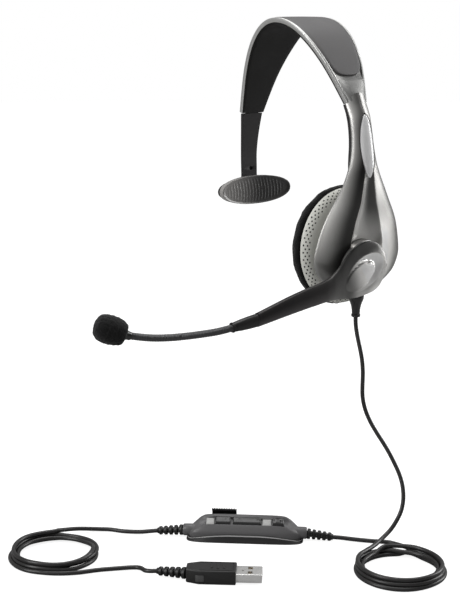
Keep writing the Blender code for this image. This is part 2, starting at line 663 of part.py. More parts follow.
CR_H = 4.3              # height of the controller's cord axis
USB_H = 3.6
c_at = lambda x, y, z: at(CTRL_POS, CTRL_ANG, x, y, z)
u_at = lambda x, y, z: at(USB_POS, USB_ANG, x, y, z)
MID = [on_ring((crx, cry), cro + touch, 128, ZC), (88.0, -1.6, ZC), (81.8, -5.2, ZC), (75.0, -11.6, ZC + 0.1), c_at(62.0, -0.4, 1.9), c_at(57.0, 0, 3.5), c_at(52.5, 0, CR_H)]
LEFT = [c_at(-52.5, 0, CR_H), c_at(-57.0, 0, 3.5), c_at(-63.0, -0.2, 1.6), c_at(-73.0, 0.4, 1.25), (-33.2, -121.6, ZC), (-40.6, -132.8, ZC), on_ring((clx, cly), clo + touch, 136, ZC)]
PLUG = [on_ring((clx, cly), clo + touch, -38, ZC), (9.0, -170.0, ZC), (13.2, -158.6, ZC), (18.6, -147.8, ZC), (26.0, -140.2, ZC + 0.5), u_at(-39.0, 0.5, 2.6), u_at(-34.85, 0, USB_H)]

# ------------------------------------------------------------------ inline controller
half_l, half_w = CTRL_L / 2, CTRL_W / 2


def ctrl_outline(inset=0.0, n=28):
    return [((half_l - inset) * math.copysign(abs(math.cos(t)) ** 0.45, math.cos(t)), (half_w - inset) * math.copysign(abs(math.sin(t)) ** 0.55, math.sin(t)))
            for t in [2 * math.pi * k / n for k in range(n)]]


def lift(x, y, z):
    return Vector((x * MM, y * MM, z * MM))


base = outline("controller_base", ctrl_outline(), 3.6, lift(0, 0, 1.8), CHAR, parent=ctrl)
boolean(base, outline("cut_base_pocket", ctrl_outline(1.6), 3.6, lift(0, 0, 3.2), None, coll=tools, parent=ctrl))
for sx in (-1, 1):
    web = box("clip_web_%d" % (sx + 1), (1.7, 4.4, 2.7), lift(-12.9 + sx * 9.0, half_w + 1.0, 1.85), None, coll=tools, parent=ctrl)
    ear = box("clip_ear_%d" % (sx + 1), (1.3, 3.6, 6.4), lift(-12.9 + sx * 9.0, half_w + 2.25, 3.75), None, coll=tools, parent=ctrl)
    boolean(base, web, 'UNION')
    boolean(base, ear, 'UNION')
for sx in (-1, 1):
    boolean(base, turned("cut_relief_base_%d" % (sx + 1), [(0, 8), (1.7, 8), (1.7, -8), (0, -8)], 12, None, lift(sx * half_l, 0, CR_H), (1, 0, 0), tools, ctrl))
CLIP_PIN = (half_w + 2.5, 5.2)
boolean(base, turned("cut_clip_pin", [(0, 14), (0.9, 14), (0.9, -14), (0, -14)], 12, None, lift(-12.9, *CLIP_PIN), (1, 0, 0), tools, ctrl))

top_rings = []
for z, ins in ((3.9, 0.0), (6.6, 0.2), (9.4, 1.1), (10.6, 2.2), (CTRL_H, 3.4)):
    k = ins * 1.2
    top_rings.append([lift(x * (half_l - k * 1.8) / half_l, y * (half_w - k) / half_w, z) for x, y in ctrl_outline(0.0)])
top = loft("controller_top_shell", top_rings, CHAR)
top.parent = ctrl
boolean(top, box("cut_top_pocket", (CTRL_L - 12, CTRL_W - 5.4, 7.2), lift(0, 0, 5.6), None, coll=tools, parent=ctrl))
for sx in (-1, 1):
    boolean(top, turned("cut_relief_top_%d" % (sx + 1), [(0, 9), (1.7, 9), (1.7, -9), (0, -9)], 12, None, lift(sx * half_l, 0, CR_H), (1, 0, 0), tools, ctrl))
KEYS = [("keypad_panel_left", -22.6, -17.9, LIGHT), ("mute_button", -17.2, -8.4, CHAR), ("volume_rocker", -7.0, 9.6, CHAR), ("keypad_panel_right", 10.4, 15.6, LIGHT), ("call_button", 16.3, 22.9, CHAR)]
KEY_Y, KEY_W = -1.8, 5.4
boolean(top, box("cut_key_window", (46.4, KEY_W + 0.7, 5.0), lift(0.15, KEY_Y, 10.9), None, coll=tools, parent=ctrl))
for name, x0, x1, mat in KEYS:
    high = 0.5 if mat is CHAR else -0.35
    z0 = 8.75
    box(name, (x1 - x0, KEY_W, CTRL_H + high - z0), lift((x0 + x1) / 2, KEY_Y, (CTRL_H + high + z0) / 2), mat, parent=ctrl, bevel=0.3)
pcb = box("controller_pcb", (50.0, 9.0, 1.0), lift(0, 0, 7.0 - 0.8), GREEN, parent=ctrl)
for k, x in enumerate((-24.0, 24.0)):
    turned("controller_screw_%d" % (k + 1), [(0, 5.4), (0.8, 5.4), (0.8, 0.95), (1.6, 0.95), (1.6, 0.3), (0, 0.3)], 12, STEEL, lift(x, 0, 0), (0, 0, 1), parent=ctrl)
    boolean(base, turned("cut_screw_%d" % k, [(0, 5), (1.1, 5), (1.1, 1.0), (1.9, 1.0), (1.9, -1), (0, -1)], 12, None, lift(x, 0, 0), (0, 0, 1), tools, ctrl))


def relief(name, sgn, face, length, n, frame_obj, h, root_r=3.2, mat=RUBBER, neck=1.35):
    "ribbed strain relief along the cord; its neck sits in the housing's end hole"
    start = face - 3.0
    first = 3.0 + GAP
    prof = [(0, 0), (neck, 0), (neck, first)]
    step = length / n
    for k in range(n):
        r = root_r - 0.2 * k
        prof += [(r, first + k * step), (r, first + k * step + step * 0.55), (neck + 0.5, first + k * step + step * 0.62), (neck + 0.5, first + (k + 1) * step)]
    prof = prof[:-1] + [(neck + 0.5, first + length), (0, first + length)]
    prof = prof[::-1]
    return turned(name, prof, 10, mat, lift(sgn * start, 0, h), (sgn, 0, 0), parent=frame_obj)


relief("controller_relief_right", 1, half_l, 18.4, 4, ctrl, CR_H)
relief("controller_relief_left", -1, half_l, 18.4, 4, ctrl, CR_H)

# clothing clip on the controller's rear side
clip_empty = bpy.data.objects.new("clip_axis", None)
clip_empty.location = lift(-12.9, *CLIP_PIN)
clip_empty.parent = ctrl
parts.objects.link(clip_empty)
jaw = [(-2.0, -4.7), (-1.0, -4.9), (1.6, -1.6), (2.0, 0.0), (1.7, 1.4), (1.0, 6.4), (-0.4, 9.2), (-4.4, 9.6), (-4.4, 8.4), (-1.2, 8.0), (-0.2, 6.2), (0.2, 2.2), (-1.4, 1.7), (-1.9, 0.0), (-1.5, -1.6), (-0.6, -2.4)]
clip = outline("clothing_clip", jaw, 14.6, Vector((0, 0, 0)), BLACK, rot=FLAT_X, parent=clip_empty)
boolean(clip, turned("cut_clip_bore", [(0, 9), (0.95, 9), (0.95, -9), (0, -9)], 12, None, Vector((0, 0, 0)), (1, 0, 0), tools, clip_empty))
turned("clip_pin", [(0, 9.6), (0.6, 9.6), (0.6, -9.6), (0, -9.6)], 12, STEEL, lift(-12.9, *CLIP_PIN), (1, 0, 0), parent=ctrl)

# ------------------------------------------------------------------ USB plug
OM_L, OM_W, OM_H = 27.4, 13.6, 7.2
om_plan = [(-17.4, -4.2), (-17.4, 4.2), (-10.2, OM_W / 2), (10.0, OM_W / 2), (10.0, -OM_W / 2), (-10.2, -OM_W / 2)]
om = outline("usb_overmold", om_plan, OM_H, lift(0, 0, OM_H / 2), BLACK, parent=usb)
boolean(om, box("cut_usb_nose", (12.0, 12.6, 5.1), lift(8.6, 0, USB_H), None, coll=tools, parent=usb))
boolean(om, turned("cut_usb_tail", [(0, 6), (1.75, 6), (1.75, -6), (0, -6)], 12, None, lift(-17.4, 0, USB_H), (1, 0, 0), tools, usb))
shell = box("usb_shell", (21.0, 12.0, 4.5), lift(13.6, 0, USB_H), STEEL, parent=usb)
boolean(shell, box("cut_shell_mouth", (22.0, 11.3, 3.8), lift(14.2, 0, USB_H), None, coll=tools, parent=usb))
for sy in (-1, 1):
    boolean(shell, box("cut_latch_%d" % (sy + 1), (2.2, 2.2, 3.0), lift(17.6, sy * 2.9, USB_H + 2.2), None, coll=tools, parent=usb))
box("usb_tongue", (16.0, 10.6, 1.2), lift(14.6, 0, USB_H - 1.0), WHITE, parent=usb)
comb = [(-6.0, -4.6), (-6.0, 4.6), (-4.6, 4.6), (6.6, 4.6), (6.6, 3.4), (-4.6, 3.4), (-4.6, 1.6), (6.6, 1.6), (6.6, 0.4), (-4.6, 0.4), (-4.6, -0.4), (6.6, -0.4), (6.6, -1.6), (-4.6, -1.6), (-4.6, -3.4), (6.6, -3.4), (6.6, -4.6)]
outline("usb_contacts", comb, 0.25, lift(14.0, 0, USB_H + 0.05), BRASS, parent=usb)
relief("usb_relief", -1, 17.4, 16.6, 4, usb, USB_H)

tube("cord_to_controller", [P(*p) for p in smooth_path(MID, 6.0)], CORD_D, CORD)
tube("cord_from_controller", [P(*p) for p in smooth_path(LEFT, 6.0)], CORD_D, CORD)
tube("cord_to_plug", [P(*p) for p in smooth_path(PLUG, 6.0)], CORD_D, CORD)
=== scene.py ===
import bpy
import bmesh
import math
import numpy as np
from mathutils import Matrix, Vector


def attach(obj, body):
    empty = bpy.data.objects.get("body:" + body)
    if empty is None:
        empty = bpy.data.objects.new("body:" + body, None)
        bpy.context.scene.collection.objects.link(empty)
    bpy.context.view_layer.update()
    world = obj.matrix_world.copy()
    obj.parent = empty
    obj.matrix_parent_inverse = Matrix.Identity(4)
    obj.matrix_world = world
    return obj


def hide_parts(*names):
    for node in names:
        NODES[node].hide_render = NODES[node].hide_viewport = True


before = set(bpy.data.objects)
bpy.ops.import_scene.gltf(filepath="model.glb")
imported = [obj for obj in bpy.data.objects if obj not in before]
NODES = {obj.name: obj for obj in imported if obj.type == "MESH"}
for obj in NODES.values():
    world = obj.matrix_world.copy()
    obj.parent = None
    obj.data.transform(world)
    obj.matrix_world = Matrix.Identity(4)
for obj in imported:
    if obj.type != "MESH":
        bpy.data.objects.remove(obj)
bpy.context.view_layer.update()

MM = 0.001
CROWN = (-2.5, 0.0, -3.5)


def P(x, y, z):
    "drawing millimetres (as in part.py) to row metres"
    return Vector(((x - CROWN[0]) * MM, (y - CROWN[1]) * MM, (z - CROWN[2]) * MM))


def PA(a):
    a = np.asarray(a, float)
    return (a - np.array(CROWN)) * MM


# ------------------------------------------------------------------ camera
scene = bpy.context.scene
cam_data = bpy.data.cameras.new("camera")
cam_data.sensor_width = 36
cam_data.lens = 1300 / 613 * 36
cam_data.clip_start = 0.01
cam = bpy.data.objects.new("camera", cam_data)
cam.location = (0.58867, -0.51342, 0.0035)
cam.rotation_euler = (math.radians(90 - 12.55), 0, math.radians(52))
scene.collection.objects.link(cam)
scene.camera = cam
scene.view_settings.view_transform = 'Standard'
scene.view_settings.look = 'None'

# ------------------------------------------------------------------ small tools
CLEAR = []


def smoothstep(t):
    t = np.clip(t, 0, 1)
    return t * t * (3 - 2 * t)


def link(ob):
    scene.collection.objects.link(ob)
    return ob


def from_bm(name, bm, mat=None, sharp=40, recalc=True):
    if recalc:
        bmesh.ops.recalc_face_normals(bm, faces=bm.faces)
    me = bpy.data.meshes.new(name)
    bm.to_mesh(me)
    bm.free()
    me.shade_smooth()
    me.set_sharp_from_angle(angle=math.radians(sharp))
    ob = link(bpy.data.objects.new(name, me))
    if mat:
        me.materials.append(mat)
    return ob


def loft(name, rings, mat=None, sharp=40, caps=True):
    "rings of equal length (row metres), closed round, capped"
    bm = bmesh.new()
    rows = [[bm.verts.new(tuple(p)) for p in ring] for ring in rings]
    n = len(rows[0])
    for a, b in zip(rows[:-1], rows[1:]):
        for i in range(n):
            j = (i + 1) % n
            bm.faces.new((a[i], a[j], b[j], b[i]))
    if caps:
        bm.faces.new(rows[0])
        bm.faces.new(rows[-1])
    return from_bm(name, bm, mat, sharp)


def turned(name, profile, steps, mat, loc, axis=(0, 0, 1), sharp=40):
    "profile (radius, height) mm turned about an axis through loc; closed"
    q = Vector((0, 0, 1)).rotation_difference(Vector(axis)).to_matrix()
    bm = bmesh.new()
    rows = []
    closed = profile[0][0] > 1e-6
    for r, h in profile:
        if r < 1e-6:
            rows.append([bm.verts.new(Vector(loc) + q @ Vector((0, 0, h * MM)))])
        else:
            rows.append([bm.verts.new(Vector(loc) + q @ Vector((r * MM * math.cos(2 * math.pi * k / steps), r * MM * math.sin(2 * math.pi * k / steps), h * MM))) for k in range(steps)])
    pairs = list(zip(rows[:-1], rows[1:])) + ([(rows[-1], rows[0])] if closed else [])
    for a, b in pairs:
        for i in range(steps):
            j = (i + 1) % steps
            f = [a[i % len(a)], a[j % len(a)], b[j % len(b)], b[i % len(b)]]
            f = list(dict.fromkeys(f))
            if len(f) >= 3:
                bm.faces.new(f)
    return from_bm(name, bm, mat, sharp)


def baked(ob):
    "apply all modifiers"
    dg = bpy.context.evaluated_depsgraph_get()
    me = bpy.data.meshes.new_from_object(ob.evaluated_get(dg))
    old = ob.data
    ob.modifiers.clear()
    ob.data = me
    me.name = ob.name
    if old.users == 0:
        bpy.data.meshes.remove(old)
    return ob


def cut(ob, cutter, op='DIFFERENCE', sharp=40):
    m = ob.modifiers.new("cut", 'BOOLEAN')
    m.operation = op
    m.object = cutter
    m.solver = 'EXACT'
    bpy.context.view_layer.update()
    baked(ob)
    bpy.data.objects.remove(cutter, do_unlink=True)
    ob.data.set_sharp_from_angle(angle=math.radians(sharp))
    return ob


def bevelled(ob, width, segments=3, angle=30, sharp=40):
    m = ob.modifiers.new("bevel", 'BEVEL')
    m.width = width * MM
    m.segments = segments
    m.limit_method = 'ANGLE'
    m.angle_limit = math.radians(angle)
    m.harden_normals = False
    bpy.context.view_layer.update()
    baked(ob)
    ob.data.shade_smooth()
    ob.data.set_sharp_from_angle(angle=math.radians(sharp))
    return ob


def boxed(name, size, centre, frame_fn=None, mat=None):
    "box of size mm about a local centre, through a local-to-row function"
    bm = bmesh.new()
    bmesh.ops.create_cube(bm, size=1.0)
    f = frame_fn or (lambda x, y, z: P(x, y, z))
    for v in bm.verts:
        v.co = f(centre[0] + v.co.x * size[0], centre[1] + v.co.y * size[1], centre[2] + v.co.z * size[2])
    return from_bm(name, bm, mat)


def spline(knots, ts):
    "natural cubic spline through evenly numbered knots"
    k = np.array(knots, float)
    n = len(k)
    a = np.zeros((n, n))
    r = np.zeros_like(k)
    a[0, 0] = a[-1, -1] = 1
    for i in range(1, n - 1):
        a[i, i - 1:i + 2] = (1, 4, 1)
        r[i] = 6 * (k[i + 1] - 2 * k[i] + k[i - 1])
    m = np.linalg.solve(a, r)
    ts = np.asarray(ts, float)
    i = np.clip(np.floor(ts).astype(int), 0, n - 2)
    f = (ts - i)[:, None] if k.ndim > 1 else ts - i
    g = 1 - f
    return g * k[i] + f * k[i + 1] + ((g ** 3 - g) * m[i] + (f ** 3 - f) * m[i + 1]) / 6


def resample(path, step):
    d = np.concatenate([[0], np.cumsum(np.linalg.norm(np.diff(path, axis=0), axis=1))])
    n = max(3, int(round(d[-1] / step)) + 1)
    s = np.linspace(0, d[-1], n)
    return np.stack([np.interp(s, d, path[:, j]) for j in range(3)], 1)


def smooth_path(points, step):
    fine = spline(points, np.linspace(0, len(points) - 1, 60 * len(points)))
    return resample(fine, step)


def length_of(path):
    return float(np.linalg.norm(np.diff(path, axis=0), axis=1).sum())


def interp(x, xs, ys):
    return float(np.interp(x, xs, ys))


# ------------------------------------------------------------------ materials
def material(name, base, rough, metal=0.0, vary=0.12, rough_vary=0.08, grain=1500.0, bump=0.15, bump_scale=2500.0, bump_dist=0.00005,
             coat=0.0, coat_rough=0.1, spec=0.5, sheen=0.0, kind="noise", ramp=None, stretch=None, painted_light_shade=False):
    "moulded plastic, paint, rubber or metal: mottled colour, uneven gloss and a fine surface grain, all from nodes"
    m = bpy.data.materials.new(name)
    m.use_nodes = True
    nt = m.node_tree
    b = nt.nodes["Principled BSDF"]
    b.inputs["Metallic"].default_value = metal
    b.inputs["Coat Weight"].default_value = coat
    b.inputs["Coat Roughness"].default_value = coat_rough
    b.inputs["Specular IOR Level"].default_value = spec
    b.inputs["Sheen Weight"].default_value = sheen
    b.inputs["Sheen Roughness"].default_value = 0.5
    tc = nt.nodes.new("ShaderNodeTexCoord")
    src = tc.outputs["Object"]
    if stretch:
        mp = nt.nodes.new("ShaderNodeMapping")
        mp.inputs["Scale"].default_value = stretch
        nt.links.new(src, mp.inputs["Vector"])
        src = mp.outputs["Vector"]
    n1 = nt.nodes.new("ShaderNodeTexNoise")
    n1.inputs["Scale"].default_value = grain
    n1.inputs["Detail"].default_value = 3.0
    nt.links.new(src, n1.inputs["Vector"])
    n0 = nt.nodes.new("ShaderNodeTexNoise")
    n0.inputs["Scale"].default_value = 45.0
    n0.inputs["Detail"].default_value = 4.0
    nt.links.new(tc.outputs["Object"], n0.inputs["Vector"])
    cr = nt.nodes.new("ShaderNodeValToRGB")
    lo = [c * (1 - vary) for c in base]
    hi = [min(1, c * (1 + vary)) for c in base]
    cr.color_ramp.elements[0].position = 0.3
    cr.color_ramp.elements[1].position = 0.7
    cr.color_ramp.elements[0].color = (*lo, 1)
    cr.color_ramp.elements[1].color = (*hi, 1)
    nt.links.new(n1.outputs["Fac"], cr.inputs["Fac"])
    colour = cr.outputs["Color"]
    if ramp:
        # a colour multiplier along one object axis, used for the boom's painted dark reflection along its arm: (axis
        # index, [(position m, rgb multiplier)])
        axis, stops = ramp
        sep = nt.nodes.new("ShaderNodeSeparateXYZ")
        nt.links.new(tc.outputs["Object"], sep.inputs[0])
        mr = nt.nodes.new("ShaderNodeMapRange")
        mr.inputs["From Min"].default_value = stops[0][0]
        mr.inputs["From Max"].default_value = stops[-1][0]
        nt.links.new(sep.outputs[axis], mr.inputs["Value"])
        rr = nt.nodes.new("ShaderNodeValToRGB")
        span = stops[-1][0] - stops[0][0]
        while len(rr.color_ramp.elements) < len(stops):
            rr.color_ramp.elements.new(0.5)
        for e, (pos, rgb) in zip(rr.color_ramp.elements, stops):
            e.position = (pos - stops[0][0]) / span
            e.color = (*rgb, 1)
        nt.links.new(mr.outputs["Result"], rr.inputs["Fac"])
        mx = nt.nodes.new("ShaderNodeMix")
        mx.data_type = 'RGBA'
        mx.blend_type = 'MULTIPLY'
        mx.inputs["Factor"].default_value = 1.0
        nt.links.new(colour, mx.inputs["A"])
        nt.links.new(rr.outputs["Color"], mx.inputs["B"])
        colour = mx.outputs["Result"]
    # painted light and shade stored on the mesh multiplies the colour
    if painted_light_shade:
        at_ = nt.nodes.new("ShaderNodeAttribute")
        at_.attribute_name = "painted_light_shade"
        mt = nt.nodes.new("ShaderNodeMix")
        mt.data_type = 'RGBA'
        mt.blend_type = 'MULTIPLY'
        mt.inputs["Factor"].default_value = 1.0
        nt.links.new(colour, mt.inputs["A"])
        nt.links.new(at_.outputs["Color"], mt.inputs["B"])
        colour = mt.outputs["Result"]
    nt.links.new(colour, b.inputs["Base Color"])
    rm = nt.nodes.new("ShaderNodeMapRange")
    rm.inputs["From Min"].default_value = 0.25
    rm.inputs["From Max"].default_value = 0.75
    rm.inputs["To Min"].default_value = max(0.03, rough - rough_vary)
    rm.inputs["To Max"].default_value = min(1, rough + rough_vary)
    nt.links.new(n0.outputs["Fac"], rm.inputs["Value"])
    nt.links.new(rm.outputs["Result"], b.inputs["Roughness"])
    if kind == "pores":
        t = nt.nodes.new("ShaderNodeTexVoronoi")
        t.inputs["Scale"].default_value = bump_scale
        out = t.outputs["Distance"]
    else:
        t = nt.nodes.new("ShaderNodeTexNoise")
        t.inputs["Scale"].default_value = bump_scale
        t.inputs["Detail"].default_value = 4.0
        out = t.outputs["Fac"]
    nt.links.new(src, t.inputs["Vector"])
    bp = nt.nodes.new("ShaderNodeBump")
    bp.inputs["Strength"].default_value = bump
    bp.inputs["Distance"].default_value = bump_dist
    nt.links.new(out, bp.inputs["Height"])
    nt.links.new(bp.outputs["Normal"], b.inputs["Normal"])
    return m


M = {}
M["shell"] = material("silver_shell_paint", (0.78, 0.77, 0.745), 0.36, metal=0.72, vary=0.07, rough_vary=0.03, grain=6000, bump=0.04, bump_scale=900, coat=0.12, coat_rough=0.2, painted_light_shade=True)
# the ramp darkens the boom along its arm: painted dark reflection on the silver paint; the head also takes stored
# painted light and shade
M["boom"] = material("boom_paint", (0.74, 0.73, 0.71), 0.33, metal=0.75, vary=0.07, rough_vary=0.04, grain=6000, bump=0.04, bump_scale=900, coat=0.12, coat_rough=0.2, painted_light_shade=True,
                     ramp=(1, [(-0.090, (0.085, 0.080, 0.084)), (-0.050, (0.095, 0.090, 0.094)), (-0.036, (0.13, 0.126, 0.128)), (-0.024, (0.34, 0.34, 0.34)), (-0.010, (1, 1, 1)), (0.015, (1, 1, 1))]))
M["band"] = material("pale_silver_paint", (0.66, 0.66, 0.645), 0.38, painted_light_shade=True, metal=0.7, vary=0.05, rough_vary=0.04, grain=5000, bump=0.05, bump_scale=1200)
M["cover"] = material("grey_soft_touch", (0.115, 0.112, 0.113), 0.55, vary=0.06, grain=2600, bump=0.25, bump_scale=5000, bump_dist=0.00003)
M["liner"] = material("charcoal_soft_touch", (0.016, 0.0155, 0.015), 0.62, spec=0.3, vary=0.1, grain=2600, bump=0.3, bump_scale=4500, bump_dist=0.00004)
M["arm"] = material("charcoal_nylon", (0.030, 0.028, 0.029), 0.48, spec=0.4, vary=0.08, grain=2600, bump=0.2, bump_scale=4000, bump_dist=0.00003)
M["pad"] = material("pad_rubber", (0.030, 0.029, 0.028), 0.30, painted_light_shade=True, vary=0.15, rough_vary=0.08, grain=1800, bump=0.12, bump_scale=2600, spec=0.7)
M["foam"] = material("black_foam", (0.007, 0.007, 0.007), 0.95, vary=0.35, rough_vary=0.05, grain=1800, bump=0.9, bump_scale=1500, bump_dist=0.0004, kind="pores", spec=0.25, sheen=0.15)
M["scrim"] = material("black_cloth", (0.016, 0.016, 0.017), 0.9, vary=0.3, grain=2600, bump=0.8, bump_scale=2400, bump_dist=0.0002, kind="pores", spec=0.3, sheen=0.3)
M["dish"] = material("light_grey_plastic", (0.80, 0.80, 0.74), 0.42, vary=0.05, grain=2500, bump=0.12, bump_scale=3000)
# near-black walls and floor of the dish's blind holes: painted shade
M["hole"] = material("hole_painted_shade", (0.004, 0.004, 0.004), 0.9, spec=0.1, vary=0.2)
M["badge"] = material("badge_gloss", (0.97, 0.97, 0.97), 0.12, vary=0.02, rough_vary=0.03, grain=300, bump=0.02, bump_scale=400, coat=0.5, coat_rough=0.05)
M["black"] = material("black_plastic", (0.008, 0.008, 0.008), 0.33, vary=0.15, grain=2000, bump=0.1, bump_scale=3500)
M["gloss"] = material("black_gloss", (0.004, 0.004, 0.004), 0.14, vary=0.1, rough_vary=0.04, grain=900, bump=0.03, bump_scale=900, coat=0.6, coat_rough=0.05)
M["rubber"] = material("black_rubber", (0.010, 0.010, 0.010), 0.38, vary=0.2, grain=1800, bump=0.25, bump_scale=3000)
M["cord"] = material("cord_jacket", (0.024, 0.023, 0.023), 0.33, vary=0.12, rough_vary=0.06, grain=700, bump=0.15, bump_scale=1500, spec=0.55)
M["steel"] = material("bright_steel", (0.74, 0.73, 0.71), 0.20, metal=1.0, vary=0.05, rough_vary=0.05, grain=1500, bump=0.06, bump_scale=1500, stretch=(1, 6, 1))
M["goose"] = material("gooseneck_metal", (0.10, 0.10, 0.102), 0.30, metal=0.85, vary=0.15, rough_vary=0.06, grain=1500, bump=0.08, bump_scale=2500)
M["brass"] = material("contact_gold", (0.80, 0.58, 0.24), 0.25, metal=1.0, vary=0.06, grain=1500, bump=0.05)
M["board"] = material("circuit_board", (0.015, 0.10, 0.045), 0.42, vary=0.3, grain=700, bump=0.2)
M["ctrl"] = material("controller_satin", (0.125, 0.123, 0.125), 0.34, vary=0.08, grain=2400, bump=0.22, bump_scale=4200, bump_dist=0.00003)
M["base"] = material("controller_base_satin", (0.016, 0.0155, 0.016), 0.42, vary=0.1, grain=2400, bump=0.22, bump_scale=4200, bump_dist=0.00003)
# light grey band along the controller base's seam: painted highlight
M["lip"] = material("controller_seam_painted_highlight", (0.42, 0.42, 0.42), 0.38, vary=0.06, grain=2400, bump=0.15, bump_scale=4200)
M["usb"] = material("plug_steel", (0.93, 0.925, 0.91), 0.24, metal=0.75, vary=0.03, rough_vary=0.05, grain=1500, bump=0.05, bump_scale=1500, stretch=(1, 6, 1))
M["grip"] = material("grip_insert", (0.09, 0.09, 0.09), 0.5, vary=0.12, grain=2200, bump=0.2, bump_scale=3000)
M["panel"] = material("key_panel_grey", (0.46, 0.46, 0.45), 0.45, vary=0.07, grain=1800, bump=0.15, bump_scale=3000)
M["key"] = material("key_rubber", (0.016, 0.0155, 0.016), 0.22, vary=0.12, grain=1800, bump=0.12, bump_scale=3000, spec=0.6)
M["mould"] = material("overmould", (0.016, 0.0155, 0.0155), 0.38, vary=0.1, grain=2200, bump=0.22, bump_scale=4000, bump_dist=0.00004)
M["tongue"] = material("tongue_white", (0.75, 0.75, 0.73), 0.4, vary=0.04, grain=900, bump=0.05)

CAD_LOOK = {"headband_frame": "band", "headband_cover": "cover", "headband_liner": "liner", "headband_spring": "steel", "temple_slide_tongue": "steel", "temple_arm": "arm", "temple_pad_pin": "steel",
            "temple_pad_plate": "black", "temple_pad": "pad", "earcup_shell": "shell", "badge_insert": "badge", "neck_inner_cover": "arm", "speaker_housing": "dish", "speaker_driver": "black", "speaker_baffle": "black",
            "ear_cushion": "foam", "cushion_scrim": "scrim", "boom_arm": "boom", "boom_pivot_shaft": "steel", "boom_retainer": "steel", "boom_friction_washer": "steel", "boom_collar": "black", "gooseneck_rear": "goose",
            "gooseneck_knuckle": "goose", "gooseneck_front": "goose", "mic_housing": "black", "mic_capsule": "steel", "mic_windscreen": "foam", "cup_strain_relief": "gloss", "cord_coil_right": "cord", "cord_coil_left": "cord",
            "cord_down": "cord", "cord_to_controller": "cord", "cord_from_controller": "cord", "cord_to_plug": "cord", "controller_base": "base", "controller_top_shell": "ctrl", "keypad_panel_left": "panel", "keypad_panel_right": "panel",
            "mute_button": "key", "volume_rocker": "key", "call_button": "key", "controller_pcb": "board", "controller_screw_1": "steel", "controller_screw_2": "steel", "controller_relief_right": "rubber", "controller_relief_left": "rubber",
            "clothing_clip": "black", "clip_pin": "steel", "usb_overmold": "mould", "usb_shell": "steel", "usb_tongue": "tongue", "usb_contacts": "brass", "usb_relief": "rubber"}
for node, look in CAD_LOOK.items():
    if node in NODES:
        NODES[node].data.materials.clear()
        NODES[node].data.materials.append(M[look])



def store_painted_light_shade(ob, fn):
    """stores painted light and shade at each point of a piece, from its place in drawing mm"""
    me = ob.data
    old = me.color_attributes.get("painted_light_shade")
    if old:
        me.color_attributes.remove(old)
    a = me.color_attributes.new("painted_light_shade", 'FLOAT_COLOR', 'POINT')
    vals = np.ones((len(me.vertices), 4), np.float32)
    for i, v in enumerate(me.vertices):
        t = fn(v.co.x / MM + CROWN[0], v.co.y / MM + CROWN[1], v.co.z / MM + CROWN[2], v.normal)
        vals[i, :3] = t
    a.data.foreach_set("color", vals.ravel())


# ------------------------------------------------------------------ shared layout, the same numbers as part.py
FLOOR = -300.0
CORD_D = 2.5
ZC = FLOOR + CORD_D / 2
CTRL_POS, CTRL_ANG = (24.8, -63.7), 47.6
CTRL_L, CTRL_W, CTRL_H = 66.6, 15.4, 11.0
USB_POS, USB_ANG = (61.7, -111.9), 48.6
CR_H, USB_H = 4.3, 3.6
(crx, cry), cro, cri, crh = ((115.5, -26.3), 25.7, 18.6, 7.6)
(clx, cly), clo, cli, clh = ((-20.8, -166.0), 25.4, 18.2, 7.2)


def at(frame_pos, ang, x, y, z):
    a = math.radians(ang)
    return (frame_pos[0] + x * math.cos(a) - y * math.sin(a), frame_pos[1] + x * math.sin(a) + y * math.cos(a), FLOOR + z)


c_at = lambda x, y, z: at(CTRL_POS, CTRL_ANG, x, y, z)
u_at = lambda x, y, z: at(USB_POS, USB_ANG, x, y, z)
CP = lambda x, y, z: P(*c_at(x, y, z))
UP = lambda x, y, z: P(*u_at(x, y, z))


def on_ring(centre, r, deg, z):
    a = math.radians(deg)
    return (centre[0] + r * math.cos(a), centre[1] + r * math.sin(a), z)


# ------------------------------------------------------------------ cords
def coil_turns(centre, start, total, places, step=4.0, wobble=0.0):
    """points of a hand-wound coil. places: (radius, height) of each turn, first to last; each turn
    changes to the next place where the fewest strands lie, so the turns stay beside each other"""
    n = int(total / step)
    out = []
    k_last = int(total // 360)
    free = total - 360 * k_last          # past this angle there is one strand fewer
    width = (360 - free) / (k_last + 1.0)
    for i in range(n + 1):
        rel = total * i / n
        k = int(rel // 360)
        a = rel - 360 * k
        # turn k changes places during its own slot of the free stretch, the last turn first
        mid = free + width * (k_last - k - 0.5) if k < k_last else 1e9
        t = float(smoothstep((a - (mid - width * 0.75)) / (width * 1.5)))
        r0, z0 = places[k]
        r1, z1 = places[min(k + 1, len(places) - 1)]
        r = r0 + (r1 - r0) * t
        z = z0 + (z1 - z0) * t
        ang = math.radians(start + rel)
        r += wobble * math.sin(2.3 * ang + 1.7 * k)
        z += 0.5 * wobble * math.sin(1.7 * ang + 2.9 * k + 1)
        out.append((centre[0] + r * math.cos(ang), centre[1] + r * math.sin(ang), FLOOR + z))
    return np.array(out)


